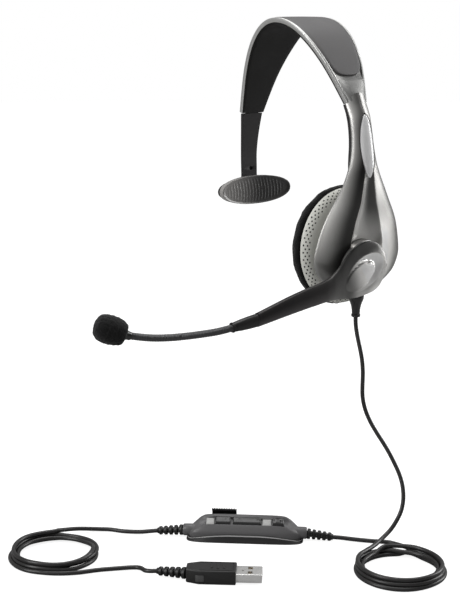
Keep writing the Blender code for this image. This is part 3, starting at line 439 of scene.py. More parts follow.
def settle(path, lo, hi, rounds=150, gap=2.56):
    "lets the turns of a coil push each other apart and rest on the floor and on each other; only points lo..hi move"
    home = path.copy()
    n = len(path)
    idx = np.arange(n)
    apart = np.abs(idx[:, None] - idx[None, :]) > 4
    seg = np.linalg.norm(np.diff(path, axis=0), axis=1)
    free = np.zeros(n)
    free[lo:hi] = 1.0
    ramp = np.minimum(1, np.minimum(idx - lo, hi - idx) / 8.0)
    free = np.clip(np.minimum(free, ramp), 0, 1)[:, None]
    p = path.copy()
    for it in range(rounds):
        d = p[:, None, :] - p[None, :, :]
        dist = np.sqrt((d ** 2).sum(2)) + 1e-9
        hit = (dist < gap) & apart
        push = np.where(hit, (gap - dist) / dist, 0.0)[:, :, None] * d
        count = np.maximum(1, hit.sum(1))[:, None]
        p += free * 0.42 * push.sum(1) / count
        lap = np.zeros_like(p)
        lap[2:-2] = 0.5 * (p[1:-3] + p[3:-1]) - p[2:-2]
        # keep the bend of the turn itself: smooth only the difference from the planned line
        laph = np.zeros_like(p)
        laph[2:-2] = 0.5 * (home[1:-3] + home[3:-1]) - home[2:-2]
        p += free * 0.35 * (lap - laph)
        p += free * 0.006 * (home - p)
        p[:, 2] -= free[:, 0] * 0.01
        p[:, 2] = np.maximum(p[:, 2], FLOOR + CORD_D / 2 + 0.02)
    return p


def cord_piece(name, path_mm):
    cu = bpy.data.curves.new(name, 'CURVE')
    cu.dimensions = '3D'
    cu.bevel_depth = CORD_D * MM / 2
    cu.bevel_resolution = 5
    cu.use_fill_caps = True
    sp = cu.splines.new('POLY')
    sp.points.add(len(path_mm) - 1)
    for q, p in zip(sp.points, path_mm):
        q.co = (*P(*p), 1)
    sp.use_smooth = True
    cu.materials.append(M["cord"])
    return link(bpy.data.objects.new(name, cu))


# cup to controller
DOWN = [(48.3, 0, -169.9), (48.4, 0, -175.0), (50.4, 0, -183.2), (54.0, 0, -194.0), (55.4, 0, -205.5), (55.0, 0.5, -217.4), (57.6, 2.0, -228.5), (63.5, 4.0, -238.1), (69.9, 6.0, -246.3),
        (76.2, 7.5, -255.4), (81.2, 8.0, -263.9), (84.3, 7.0, -273.0), (85.2, 4.0, -282.0), (85.4, -3.0, -289.3), (86.6, -12.0, -292.6), (89.4, -20.5, -293.9)]
MID = [(98.5, 0.2, ZC), (88.0, -1.6, ZC), (81.8, -5.2, ZC), (75.0, -11.6, ZC + 0.1), c_at(62.0, -0.2, 1.45), c_at(56.5, 0, 1.9), c_at(51.4, 0, CR_H - 2.15)]
turns_r = coil_turns((crx, cry), 196, 360 * 4 + 262, [(23.4, 6.2), (20.9, 3.9), (24.0, 3.8), (21.6, 1.3), (24.3, 1.27)], wobble=0.35)
fine_down = smooth_path(DOWN, 2.0)
fine_mid = smooth_path(MID, 2.0)
coil_part = resample(turns_r, 1.6)


def joined(*parts):
    """one line through the parts, dropping points that lie within 0.6 mm of the last one kept"""
    pts = np.concatenate(parts)
    keep = [0]
    for i in range(1, len(pts)):
        if np.linalg.norm(pts[i] - pts[keep[-1]]) > 0.6:
            keep.append(i)
    return pts[keep]


cord_a = joined(fine_down, coil_part[2:], fine_mid)
cord_a = resample(cord_a, 1.6)
na = int(length_of(fine_down) / 1.6)
nb = len(cord_a) - int(length_of(fine_mid) / 1.6)


def eased(path, lo, hi, rounds=30):
    p = path.copy()
    for _ in range(rounds):
        p[lo:hi] += 0.5 * (0.5 * (p[lo - 1:hi - 1] + p[lo + 1:hi + 1]) - p[lo:hi])
    return p


cord_a = eased(cord_a, na - 8, na + 8)
cord_a = eased(cord_a, nb - 8, nb + 8)
cord_a = settle(cord_a, na - 14, nb + 8)

LEFT = [c_at(-51.4, 0, CR_H - 1.25), c_at(-57.0, 0, 2.4), c_at(-63.0, 0.3, 1.7), c_at(-73.0, 1.6, 1.3), (-33.2, -121.6, ZC), (-39.4, -131.0, ZC + 1.6), (-41.4, -141.5, ZC + 4.0)]
PLUG = [(1.0, -181.2, ZC), (7.6, -171.6, ZC), (12.0, -159.6, ZC), (17.0, -149.2, ZC), (24.0, -139.0, ZC + 0.3), u_at(-40.5, 4.4, 2.5), u_at(-33.4, 3.15, USB_H - 0.5)]
turns_l = coil_turns((clx, cly), 141, 360 * 3 + 176, [(23.0, 5.9), (21.2, 3.6), (23.6, 3.3), (23.9, 1.27)], wobble=0.3)
fine_left = smooth_path(LEFT, 2.0)
fine_plug = smooth_path(PLUG, 2.0)
cord_b = resample(joined(fine_left, resample(turns_l, 1.6)[2:], fine_plug), 1.6)
nc = int(length_of(fine_left) / 1.6)
nd = len(cord_b) - int(length_of(fine_plug) / 1.6)
cord_b = eased(cord_b, nc - 8, nc + 8)
cord_b = eased(cord_b, nd - 8, nd + 8)
cord_b = settle(cord_b, nc - 14, nd + 8)

flex_a = cord_piece("cord_cup_to_controller", cord_a)
flex_b = cord_piece("cord_controller_to_plug", cord_b)
for f in (flex_a, flex_b):
    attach(f, "root")
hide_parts("cord_down", "cord_coil_right", "cord_to_controller")
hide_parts("cord_from_controller", "cord_coil_left", "cord_to_plug")


# ------------------------------------------------------------------ headband
BAND = [(-49.5, -57.7, 16.6), (-40.7, -34.6, 25.2), (-30.4, -17.1, 32.5),
        (-18.9, -5.7, 36.0), (-5.6, -1.7, 37.8), (8.6, -4.2, 37.8),
        (22.1, -12.9, 34.5), (34.2, -27.6, 26.8), (44.5, -47.4, 15.2)]
RIM_W = 1.5
COVER_END = 0.885
COVER_TIP = 0.910
GAP = 0.30


def band(s):
    t = s * (len(BAND) - 1)
    p0, p, p1 = spline(BAND, [t - 0.01, t, t + 0.01])
    d = np.array([p1[0] - p0[0], p1[1] - p0[1]])
    d /= np.linalg.norm(d)
    return (p[0], p[1]), (-d[1], d[0]), d, p[2] / 2


def band_ring(s, section):
    (x, z), (nx, nz), _, _ = band(s)
    return [P(x + nx * n, y, z + nz * n) for y, n in section]


def frame_section(s):
    b = band(s)[3]
    t = min(max((s - COVER_TIP) / (1 - COVER_TIP), 0), 1)
    e = t * t * (3 - 2 * t)
    i = b - RIM_W
    rise = min(1.0, max(0.0, (s - COVER_TIP + 0.004) * 45))
    floor = 0.8 + 0.75 * rise
    crown = []
    for f in np.linspace(-1, 1, 17):
        crown.append((f * i, floor + 2.3 * e * math.sqrt(max(0, 1 - f * f * 0.97))))
    left = [(-b + 0.25, -1.25), (-b, -0.95), (-b, 0.95), (-b + 0.12, 1.3), (-b + 0.45, 1.5), (-i - 0.35, 1.55), (-i - 0.08, 1.5)]
    right = [(-y, n) for y, n in left[::-1]]
    inner = [(i, -1.25), (i, 0.1), (-i, 0.1), (-i, -1.25)]
    return left + crown + right + inner


rings = [band_ring(s, frame_section(s)) for s in np.concatenate([np.linspace(0, 0.84, 72), np.linspace(0.845, 1.0, 60)])]
frame_piece = loft("band_frame_look", rings, M["band"], sharp=50)


def frame_painted_shade(x, y, z, n):
    "the frame's end is shaded like the neck it runs into"
    t = float(smoothstep((-18.0 - z) / 9.0)) * (1.0 if x > 0 else 0.0)
    side = float(smoothstep((-y - 3.0) / 6.5))
    return 1.0 * (1 - t) + t * (0.30 + 0.62 * side)


store_painted_light_shade(frame_piece, frame_painted_shade)
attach(frame_piece, "root"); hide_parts("headband_frame")


def cover_half(s):
    full = band(s)[3] - RIM_W - 0.18
    a = max(0.0, (COVER_TIP - s) / 0.050)
    return max(0.05, full * max(0.0, 1 - max(0.0, 1 - a) ** 3.0) ** (1 / 3.2))


rings = []
cover_s = np.concatenate([np.linspace(0.006, 0.80, 60), COVER_TIP - 0.105 * (1 - np.linspace(0, 1, 56)) ** 2])
cover_s = np.unique(np.round(cover_s, 6))
for s in cover_s:
    h = cover_half(s)
    lift_n = 0.9
    top = []
    for f in np.linspace(-1, 1, 25):
        edge = max(0.0, (abs(f) * h - (h - 0.45)) / 0.45) if h > 0.5 else abs(f)
        top.append((f * h, 1.78 + 0.25 * (1 - f * f) - 0.45 * min(1, edge) ** 2))
    rings.append(band_ring(s, top + [(h, lift_n), (-h, lift_n)]))
cover_piece = loft("band_cover_look", rings, M["cover"], sharp=60)
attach(cover_piece, "root"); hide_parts("headband_cover")

rings = []
for s in np.linspace(0.002, 0.998, 110):
    h = band(s)[3] - 0.05
    sec = [(-h + 0.3, -1.3), (-h, -1.5), (-h, -1.85)]
    sec += [(f * (h - 0.25), -2.1 - 0.12 * (1 - f * f)) for f in np.linspace(-1, 1, 13)]
    sec += [(h, -1.85), (h, -1.5), (h - 0.3, -1.3)]
    rings.append(band_ring(s, sec))
liner_piece = loft("band_liner_look", rings, M["liner"], sharp=50)
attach(liner_piece, "root"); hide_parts("headband_liner")

# ------------------------------------------------------------------ temple arm and pad
ARM = [(-49.1, -58.4, 7.9, 1.25), (-50.6, -69.3, 6.9, 1.0), (-51.7, -81.9, 6.05, 1.0), (-51.6, -91.0, 6.0, 0.95), (-51.4, -98.0, 6.1, 0.85), (-51.1, -103.0, 6.0, 1.5), (-51.1, -107.0, 5.4, 1.5)]
rings = []
for x, z, h, t in spline(ARM, np.linspace(0, len(ARM) - 1, 70)):
    c = 0.45
    rings.append([P(x + a, y, z) for a, y in ((-t, -h + c), (-t + c, -h), (t - c, -h), (t, -h + c), (t, 0), (t, h - c), (t - c, h), (-t + c, h), (-t, h - c), (-t, 0))])
arm_piece = loft("temple_arm_look", rings, M["arm"], sharp=30)
cut(arm_piece, turned("c1", [(0, 4), (1.25, 4), (1.25, 0), (0, 0)], 40, None, P(-51.75, 0.9, -92.8), (1, 0, 0)))
ARC = (76.486, -92.325, 130.66 - 0.55)
slot_rings = []
for k in range(6):
    a = math.atan2(-57.7 - ARC[1], -49.5 - ARC[0]) - (-3.6 + 6.6 * k / 5) / 130.66
    slot_rings.append([P(ARC[0] + r * math.cos(a), y, ARC[1] + r * math.sin(a)) for y, r in ((-5.5, ARC[2] - 0.65), (-5.5, ARC[2] + 0.65), (5.5, ARC[2] + 0.65), (5.5, ARC[2] - 0.65))])
cut(arm_piece, loft("c2", slot_rings))
cut(arm_piece, turned("c3", [(0, 12), (0.95, 12), (0.95, -12), (0, -12)], 24, None, P(-51.1, 0, -104.6), (0, 1, 0)))
bevelled(arm_piece, 0.12, 2, 50, 40)
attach(arm_piece, "temple_slider"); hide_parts("temple_arm")

PAD_C = (0.0, -105.7)
PA_, PB_ = 27.3, 8.8
NY, NZ = 181, 33


def pad_edge(f):
    return PB_ * (max(0.0, 1 - abs(f) ** 2.2)) ** (1 / 2.2)


front, back = [], []
for j in range(NY):
    f = math.sin(math.pi / 2 * (-1 + 2 * j / (NY - 1)))
    f = 0.45 * f + 0.55 * (-1 + 2 * j / (NY - 1))
    y = PA_ * f
    b = pad_edge(f)
    fr, bk = [], []
    for k in range(NZ):
        g = -1 + 2 * k / (NZ - 1)
        g = math.copysign(1 - (1 - abs(g)) ** 1.35, g)
        z = b * g
        rho = (abs(f) ** 2.2 + (abs(z) / PB_) ** 2.2) ** (1 / 2.2)
        inset = (1 - rho) * 8.8
        lip = float(smoothstep(1 - inset / 0.9))
        bowl = 1.5 * (f * f) + 0.25 * (z / PB_) ** 2
        phase = (y + 0.05 * z * z / 2.0 + 0.10 * z) / 2.45
        rib = max(0.0, math.cos(2 * math.pi * phase)) ** 1.5
        ribs = 0.19 * rib * float(smoothstep((inset - 1.1) / 1.3))
        x = -44.95 + 0.55 * lip + bowl + ribs
        if rho > 0.985:
            x -= 0.25
        fr.append((x, y, z))
        bk.append((-47.7 + 0.9 * f * f, y * 0.992, z * 0.985))
    front.append(fr)
    back.append(bk)
bm = bmesh.new()


def grid_faces(bm, rows, flip=False):
    vs = [[bm.verts.new(P(x, y + PAD_C[0], z + PAD_C[1])) for x, y, z in r] for r in rows]
    for a, b in zip(vs[:-1], vs[1:]):
        for i in range(len(a) - 1):
            bm.faces.new((a[i], a[i + 1], b[i + 1], b[i]) if not flip else (a[i], b[i], b[i + 1], a[i + 1]))
    return vs


va = grid_faces(bm, front)
vb = grid_faces(bm, back, True)
for i in range(NY - 1):
    bm.faces.new((va[i][0], va[i + 1][0], vb[i + 1][0], vb[i][0]))
    bm.faces.new((va[i][-1], vb[i][-1], vb[i + 1][-1], va[i + 1][-1]))
bmesh.ops.remove_doubles(bm, verts=bm.verts, dist=1e-6)
bm.verts.ensure_lookup_table()
pad_piece = from_bm("temple_pad_look", bm, M["pad"], sharp=75)
bm = bmesh.new()
bm.from_mesh(pad_piece.data)
bmesh.ops.holes_fill(bm, edges=[e for e in bm.edges if e.is_boundary], sides=0)
bmesh.ops.recalc_face_normals(bm, faces=bm.faces)
bm.to_mesh(pad_piece.data)
bm.free()
# painted highlight and reflection: the pad's rubber is lifted towards -y and along its rim
store_painted_light_shade(pad_piece, lambda x, y, z, n: 1.0 + 9.5 * float(smoothstep((6.0 - y) / 30.0)) + (1.6 if ((y / PA_) ** 2 + ((z - PAD_C[1]) / PB_) ** 2) > 0.93 else 0.0))
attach(pad_piece, "temple_pad_body"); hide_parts("temple_pad")

# ------------------------------------------------------------------ neck and ear cup shell
SHELL = np.array([(-47.8, 43.6, 7.6, 5.6), (-55.0, 46.8, 7.4, 6.2), (-66.1, 49.0, 7.6, 6.4), (-80.0, 50.5, 9.5, 6.8), (-91.9, 50.9, 14.4, 6.6), (-102.8, 49.5, 20.2, 8.1),
                  (-113.7, 48.0, 25.8, 9.5), (-123.7, 46.3, 28.8, 11.2), (-135.7, 44.6, 30.2, 12.4), (-143.7, 44.2, 27.0, 12.2), (-150.8, 44.0, 19.4, 10.6), (-157.7, 43.8, 8.6, 6.6), (-161.0, 43.8, 3.0, 2.4)])
PIVOT = (-2.5, -139.5)
HEAD_R = 15.3
SHELL_T = np.arange(len(SHELL), dtype=float)


def shell_at(z):
    if z > SHELL[0, 0]:
        d = z - SHELL[0, 0]
        return SHELL[0, 1] - 0.444 * d, SHELL[0, 2] + 0.03 * d, SHELL[0, 3] + 0.02 * d
    t = float(np.interp(-z, -SHELL[:, 0], SHELL_T))
    return tuple(spline(SHELL[:, 1:], [t])[0])


def crease(z):
    return interp(-z, [74, 85, 95, 103, 113, 125, 140, 165], [0.0, 3.4, 4.8, 6.2, 9.4, 12.4, 13.2, 13.0])


def trough(z):
    "depth of the trough between the two lobes, and how flat its floor is"
    return interp(-z, [76, 86, 95, 104, 114, 125, 134, 144, 151, 159], [0.0, 1.1, 2.0, 2.7, 3.2, 3.9, 4.8, 4.4, 2.6, 0.0])


def shell_x(f, z):
    xr, w, h = shell_at(z)
    y = f * w
    c = crease(z)
    ex = 0.5 + 0.16 * float(smoothstep((-z - 62) / 30.0))
    x = xr + h * max(0.0, 1 - f * f) ** ex
    if c > 0.05 and abs(y) < c:
        fc = min(0.98, c / w)
        ridge = xr + h * (1 - fc * fc) ** ex
        u = y / c
        d = trough(z)
        flat = interp(-z, [100, 128], [0.0, 1.0])
        bowl = (1 - u * u) * (1 - flat) + (1 - abs(u) ** 5) * flat
        crest = xr + h * max(0, 1 - f * f) ** ex
        base = ridge + (crest - ridge) * interp(-z, [76, 96], [1.0, 0.25])
        x = base - d * bowl
    if f > 0:
        # the side away from the boom is fuller
        wide = float(np.interp(-z, [70, 88, 105, 120, 134, 146, 156, 160], [0.0, 0.8, 2.2, 3.6, 5.0, 5.2, 3.6, 0.5]))
        k = float(smoothstep((f - 0.45) / 0.5))
        y += wide * k
        x += 0.35 * wide * k * (1 - f * f) ** 0.4
    return y, x


zs = np.concatenate([np.linspace(-47.8, -66, 26), np.linspace(-66.8, -157.7, 118)[0:], [-158.8, -159.8, -160.6, -161.0]])
NF = 96
rings = []
for z0 in zs:
    outer, inner = [], []
    # columns gather at the two creases so that their edges stay crisp
    xr, w, h = shell_at(z0)
    c = crease(z0)
    uc = math.asin(min(0.97, max(0.12, c / w)))
    angles = []
    for k in range(NF + 1):
        a = -1 + 2 * k / NF
        if abs(a) < 1 / 3:
            ang = a * 3 * uc
        else:
            ang = math.copysign(uc + (abs(a) - 1 / 3) * 1.5 * (math.pi / 2 - uc), a)
        angles.append(ang)
    wall = min(1.7, 0.45 * w, 0.6 * h)
    for ang in angles:
        f = math.sin(ang)
        arch = 6.4 * (1 - f * f) ** 0.8 * float(smoothstep((z0 + 66.0) / 18.2))
        z = z0 + arch
        y, x = shell_x(f, z)
        outer.append(P(x, y, z))
        yi = (w - wall) / w * y
        xi = shell_at(z)[0] + max(0.0, (x - shell_at(z)[0] - wall))
        r = math.hypot(yi - PIVOT[0], z - PIVOT[1])
        if r < 20:
            xi = min(xi, 50.2 + max(0.0, r - 16.5) * 1.6)
        inner.append(P(xi, yi, z))
    rings.append(outer + inner[::-1])
shell_piece = loft("cup_shell_look", rings, M["shell"], sharp=28)
cut(shell_piece, turned("c1", [(0, 14), (HEAD_R + 0.5, 14), (HEAD_R + 0.5, 0), (0, 0)], 128, None, P(52.0, *PIVOT), (1, 0, 0)), sharp=28)
cut(shell_piece, turned("c2", [(0, 9), (4.6, 9), (4.6, -9), (0, -9)], 40, None, P(51.0, *PIVOT), (1, 0, 0)), sharp=28)

BADGE_TOP, BADGE_BOT = -53.0, -89.0
bz = (BADGE_TOP + BADGE_BOT) / 2


def crest_x(z):
    xr, w, h = shell_at(z)
    return xr + h


def leaf_solid(name, half_l, half_w, low, high, mat=None, dome=0.0, n=48, m=14, round_edge=0.0):
    "leaf of stations along the neck; each row crosses it"
    bm = bmesh.new()
    tops, bots = [], []
    for k in range(n + 1):
        t = math.pi * k / n
        z = bz + half_l * math.cos(t)
        hw = half_w * max(0.004, math.sin(t)) ** 1.15
        xc = crest_x(z)
        tr, br = [], []
        for i in range(m + 1):
            g = -1 + 2 * i / m
            y = hw * g
            xr, w, h = shell_at(z)
            sag = h - h * math.sqrt(max(0, 1 - (y / w) ** 2))
            edge = round_edge * max(0.0, abs(g) - 0.8) / 0.2 * (1 if hw > 0.4 else 0)
            tr.append(bm.verts.new(P(xc - sag + high + dome * (1 - g * g) - edge, y, z)))
            br.append(bm.verts.new(P(xc - sag + low, y, z)))
        tops.append(tr)
        bots.append(br)
    for rows, flip in ((tops, False), (bots, True)):
        for a, b in zip(rows[:-1], rows[1:]):
            for i in range(m):
                bm.faces.new((a[i], a[i + 1], b[i + 1], b[i]) if not flip else (a[i], b[i], b[i + 1], a[i + 1]))
    for k in range(n):
        bm.faces.new((tops[k][0], tops[k + 1][0], bots[k + 1][0], bots[k][0]))
        bm.faces.new((tops[k][-1], bots[k][-1], bots[k + 1][-1], tops[k + 1][-1]))
    for k in (0, n):
        bm.faces.new(tops[k] + bots[k][::-1])
    return from_bm(name, bm, mat, sharp=35)


cut(shell_piece, leaf_solid("c3", 18.5, 5.5, -1.3, 5.0), sharp=28)


def shell_painted_light(x, y, z, n):
    "the paint's shading across the neck and cup: light outer flanks, dark inner slopes beside the trough"
    if z > -38.0:
        return 0.25
    xr, w, h = shell_at(max(z, -160.9))
    f = y / w
    cm = max(0.8, crease(z))
    c = cm / w
    low = float(smoothstep((-z - 110) / 34.0))
    neck = float(smoothstep((-z - 50) / 14.0))
    t = max(0.0, (-f - c) / max(0.05, 1 - c))    # 0 at the left ridge, 1 at the outer edge
    left = 0.10 + 1.15 * float(smoothstep((t - 0.18) / 0.75)) ** 1.3
    left = left * (1 - 0.74 * low) * (0.36 + 0.64 * float(smoothstep((-z - 82) / 26.0)))
    left = left * neck + (1 - neck) * (0.20 + 0.6 * float(smoothstep((t - 0.1) / 0.7)))
    u = min(1.0, max(0.0, (f + c) / (2 * c)))    # 0 at the left ridge, 1 at the right
    plateau = float(smoothstep((-z - 104) / 18.0))
    mid_ = (1.0 - 0.84 * float(smoothstep((u - 0.15) / 0.55))) * (1 - plateau) + plateau * (0.92 - 0.25 * u)
    mid_ = mid_ * neck + (1 - neck) * 0.14
    q = max(0.0, (f - c) / max(0.05, 1 - c))
    right = (1.35 * plateau + 0.62 * (1 - plateau)) - (1.10 * plateau + 0.40 * (1 - plateau)) * float(smoothstep((q - 0.30) / 0.65))
    right = right * neck + (1 - neck) * 0.45
    a = float(smoothstep((y + cm + 0.1) / 0.7))
    b = float(smoothstep((y - cm + 0.6) / 0.7))
    v = left * (1 - a) + (mid_ * (1 - b) + right * b) * a
    # painted shade along the rim edge, over its grazing highlight
    rim = float(smoothstep((xr + 0.22 * h - x) / (0.18 * h))) * float(smoothstep((abs(f) - 0.86) / 0.1))
    return v * (1 - rim) + rim * (0.15 + 0.37 * float(smoothstep((-z - 95) / 20.0)))


store_painted_light_shade(shell_piece, shell_painted_light)
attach(shell_piece, "root"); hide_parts("earcup_shell")
badge = leaf_solid("badge_look", 17.6, 4.6, -1.1, 0.12, M["badge"], dome=0.15, round_edge=0.25)
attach(badge, "root"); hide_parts("badge_insert")

# ------------------------------------------------------------------ dish with its rows of small holes
CUP_Z = -130.0
PROF = [(0.0, 46.0), (9, 46.0), (14, 45.2), (20, 43.9), (26, 42.7), (28.6, 42.15), (29.35, 41.95), (30.15, 41.7), (30.5, 41.58), (31.2, 41.25), (31.5, 41.1), (32.15, 40.65), (32.4, 40.42), (32.95, 39.83), (33.15, 39.58), (33.6, 38.85), (33.9, 38.2), (34.0, 37.8), (34.0, 37.4),
        (32.6, 37.4), (31.6, 38.9), (29.2, 40.3), (25, 41.2), (19, 42.2), (13, 43.5), (8, 44.2), (0.0, 44.2)]
HOLES = 50
NA = HOLES * 4
bm = bmesh.new()
rows = []
for r, x in PROF:
    if r < 1e-6:
        rows.append([bm.verts.new(P(x, 0, CUP_Z))])
    else:
        rows.append([bm.verts.new(P(x, r * math.cos(2 * math.pi * k / NA), CUP_Z + r * math.sin(2 * math.pi * k / NA))) for k in range(NA)])


def punched(quad):
    """a round-ish hole sunk into one quad of the dish, its walls and floor in painted shade"""
    c = sum((v.co for v in quad), Vector()) / 4
    nrm = (quad[1].co - quad[0].co).cross(quad[3].co - quad[0].co).normalized()
    if nrm.dot(c - P(34, 0, CUP_Z)) < 0:
        nrm = -nrm
    lip = [bm.verts.new(c + (v.co - c) * 0.96) for v in quad]
    wall = [bm.verts.new(c + (v.co - c) * 0.92 - nrm * 0.00012) for v in quad]
    pit = [bm.verts.new(c + (v.co - c) * 0.88 - nrm * 0.0007) for v in quad]
    for a, b, dark in ((quad, lip, 0), (lip, wall, 1), (wall, pit, 1)):
        for i in range(4):
            j = (i + 1) % 4
            bm.faces.new((a[i], a[j], b[j], b[i])).material_index = dark
    bm.faces.new(pit).material_index = 1


for n, (a, b) in enumerate(zip(rows[:-1], rows[1:])):
    for i in range(NA):
        j = (i + 1) % NA
        f = list(dict.fromkeys([a[i % len(a)], a[j % len(a)], b[j % len(b)], b[i % len(b)]]))
        if (n in (10, 14) and i % 4 == 0) or (n in (8, 12) and i % 4 == 2):
            punched(f)
        else:
            bm.faces.new(f)
bmesh.ops.recalc_face_normals(bm, faces=bm.faces)
dish_piece = from_bm("dish_look", bm, M["dish"], sharp=80, recalc=False)
dish_piece.data.materials.append(M["hole"])
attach(dish_piece, "root"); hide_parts("speaker_housing")


# ------------------------------------------------------------------ ear cushion of black foam
def value_noise(x, y, z, seed=0.0):
    "smooth repeatable bumps from sines"
    return (math.sin(1.7 * x + 2.1 * y + seed) * math.sin(1.3 * y - 1.9 * z + 2 * seed) + 0.6 * math.sin(3.1 * x - 2.7 * z + 3 * seed) * math.sin(3.7 * y + 1.1 + seed)
            + 0.35 * math.sin(6.3 * x + 5.1 * z) * math.sin(5.9 * y - 4.7 * x + seed))


cush = [(31.0, 36.1), (33.4, 36.0), (34.7, 35.2), (35.0, 33.7), (34.5, 31.8), (33.4, 29.9), (31.8, 28.0), (29.9, 26.0), (27.8, 24.4), (25.6, 23.9), (22.6, 24.2), (20.0, 25.4), (18.2, 27.4), (17.3, 30.0), (17.6, 32.8), (18.4, 35.2), (19.5, 35.9)]
pts = np.array(cush)
pts = np.concatenate([pts, pts[:1]])
ringn = spline(pts, np.linspace(0, len(pts) - 1, 73))[:-1]
NC = 200
cushion_rows = []
for k in range(NC):
    a = 2 * math.pi * k / NC
    row = []
    for r, x in ringn:
        q = (r * math.cos(a), r * math.sin(a))
        bumps = value_noise(q[0] * 0.16, q[1] * 0.16, x * 0.2, 0.7) * 0.30 + value_noise(q[0] * 0.62, q[1] * 0.62, x * 0.7, 1.9) * 0.09
        if x > 35.5:
            bumps *= 0.2
        rr, xx = r - 26.6, x - 29.8
        L = math.hypot(rr, xx)
        r2, x2 = r + bumps * rr / L, x + bumps * xx / L
        row.append(P(x2, r2 * math.cos(a), CUP_Z + r2 * math.sin(a)))
    cushion_rows.append(row)
bm = bmesh.new()
vs = [[bm.verts.new(p) for p in row] for row in cushion_rows]
for k in range(NC):
    a, b = vs[k], vs[(k + 1) % NC]
    for i in range(len(a)):
        j = (i + 1) % len(a)
        bm.faces.new((a[i], a[j], b[j], b[i]))
cushion = from_bm("ear_cushion_foam", bm, M["foam"], sharp=180)
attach(cushion, "root"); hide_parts("ear_cushion")
scrim = turned("cushion_scrim_look", [(0, 35.5), (18.3, 35.5), (17.9, 33.6), (16.9, 32.7), (14, 32.2), (9, 31.9), (4, 31.8), (0, 31.8)], 96, M["scrim"], P(0, 0, CUP_Z), (1, 0, 0))
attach(scrim, "root"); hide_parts("cushion_scrim")

# ------------------------------------------------------------------ boom arm and head
ARM_EDGE = [(12.6, -137.5, -141.5), (11.2, -132.3, -146.7), (7.5, -127.7, -151.3), (2.5, -125.0, -154.0), (-3.5, -124.2, -155.2), (-9.5, -125.6, -155.9),
            (-15.0, -128.2, -156.1), (-20.0, -132.6, -156.2), (-25.0, -138.0, -156.3), (-31.5, -143.0, -156.4), (-42.0, -146.1, -157.9), (-53.5, -148.6, -159.6),
            (-69.0, -152.2, -161.7), (-84.0, -155.4, -163.1)]
AE = np.array(ARM_EDGE)
for row in AE:
    row[1:] += np.interp(-row[0], [12, 26, 50, 70, 84], [0.0, 1.2, 2.0, 1.8, 0.9])


def ellipse_rho(y, z, c, a, b, deg):
    t = math.radians(deg)
    dy, dz = y - c[0], z - c[1]
    u = (dy * math.cos(t) + dz * math.sin(t)) / a
    v = (-dy * math.sin(t) + dz * math.cos(t)) / b
    return math.hypot(u, v)


def head_relief(y, z):
    "height in mm added to the head's outer face: a scooped crescent round a raised oval"
    dome = ellipse_rho(y, z, (-9.2, -143.6), 13.4, 6.9, 24)
    scoop = ellipse_rho(y, z, (-5.6, -142.0), 17.0, 9.6, 24)
    out = 0.0
    # scoop falls from its rim to the dome's foot, deepest at the upper right
    lean = float(smoothstep((y * 0.8 + (z + 142) * 0.6 + 20) / 20.0))
    if scoop < 1:
        out -= 1.5 * lean * float(smoothstep((1 - scoop) / 0.42))
    if dome < 1:
        out += 1.5 * lean * float(smoothstep((1 - dome) / 0.10)) + 0.75 * (1 - dome ** 2)
    return out


stations = np.concatenate([[12.9, 12.86, 12.75], np.linspace(12.6, -30, 130), np.linspace(-31, -84.5, 60)])
rings = []
NR = 128
for y in stations:
    t = float(np.interp(-y, -AE[:, 0], np.arange(len(AE)))) if y <= 12.6 else 0.0
    zt, zb = spline(AE[:, 1:], [t])[0]
    if y > 12.6:
        k = math.sqrt(max(0.0, (12.92 - y) / 0.32))
        zc = (zt + zb) / 2
        zt, zb = zc + (zt - zc) * k, zc + (zb - zc) * k
    hh = (zt - zb) / 2
    zc = (zt + zb) / 2
    thick = interp(-y, [-12, -5, 10, 30, 60, 84], [1.9, 2.8, 3.4, 5.0, 5.4, 5.0])
    ring = []
    for k in range(NR):
        a = 2 * math.pi * k / NR
        sz, cx = math.sin(a), math.cos(a)
        zz = zc + hh * math.copysign(abs(sz) ** 0.94, sz)
        cxx = math.copysign(abs(cx) ** 0.8, cx)
        x = 58.1 + thick / 2 * (1 + cxx)
        if cx > 0:
            inner = float(smoothstep(cx / 0.35))
            x += head_relief(y, zz) * inner
        else:
            x = max(x, 58.1)
        ring.append(P(x, y, zz))
    rings.append(ring)
boom_piece = loft("boom_arm_look", rings, M["boom"], sharp=55)
cut(boom_piece, turned("c1", [(0, 6.2), (HEAD_R - 2.4, 6.2), (HEAD_R - 0.8, 5.9), (HEAD_R, 5.2), (HEAD_R, 0.4), (HEAD_R - 0.4, 0), (0, 0)], 128, None, P(52.4, *PIVOT), (1, 0, 0)), 'UNION', sharp=40)


def boom_painted_light(x, y, z, n):
    """painted shade on the crown, painted highlight in the scoop, oval that fades towards the arm"""
    if x < 58.2:
        return 0.5
    dome = ellipse_rho(y, z, (-9.2, -143.6), 13.4, 6.9, 24)
    scoop = ellipse_rho(y, z, (-5.6, -142.0), 17.0, 9.6, 24)
    lean = float(smoothstep((y * 0.8 + (z + 142) * 0.6 + 20) / 20.0))
    right = float(smoothstep((y + 4.0) / 9.0)) * float(smoothstep((-z - 127) / 9.0))
    v = 0.12 + 0.80 * right + 0.75 * float(smoothstep((-z - 148.0) / 6.0)) * float(smoothstep((y + 20) / 14.0))
    inner = 0.35 + 1.35 * lean
    edge = float(smoothstep((dome - 0.80) / 0.12)) * float(smoothstep((z + 143.0 - 0.35 * (y + 8)) / 2.5))
    inner *= 1 - 0.80 * edge
    ring_ = v + (1.7 - v) * lean * float(smoothstep((1 - scoop) / 0.08))
    a = float(smoothstep((1.0 - dome) / 0.05))
    head = inner * a + (ring_ if scoop < 1 else v) * (1 - a)
    # painted light on the arm's underside, from faces turned downwards
    arm = 0.50 + 0.75 * float(smoothstep((-n.z + 0.15) / 0.6))
    k = float(smoothstep((y + 33.0) / 20.0))
    v = arm * (1 - k) + head * k
    # painted shade on faces turned upwards
    return v * (1 - 0.80 * float(smoothstep((n.z - 0.25) / 0.4)) * k)


store_painted_light_shade(boom_piece, boom_painted_light)
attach(boom_piece, "boom"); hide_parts("boom_arm")


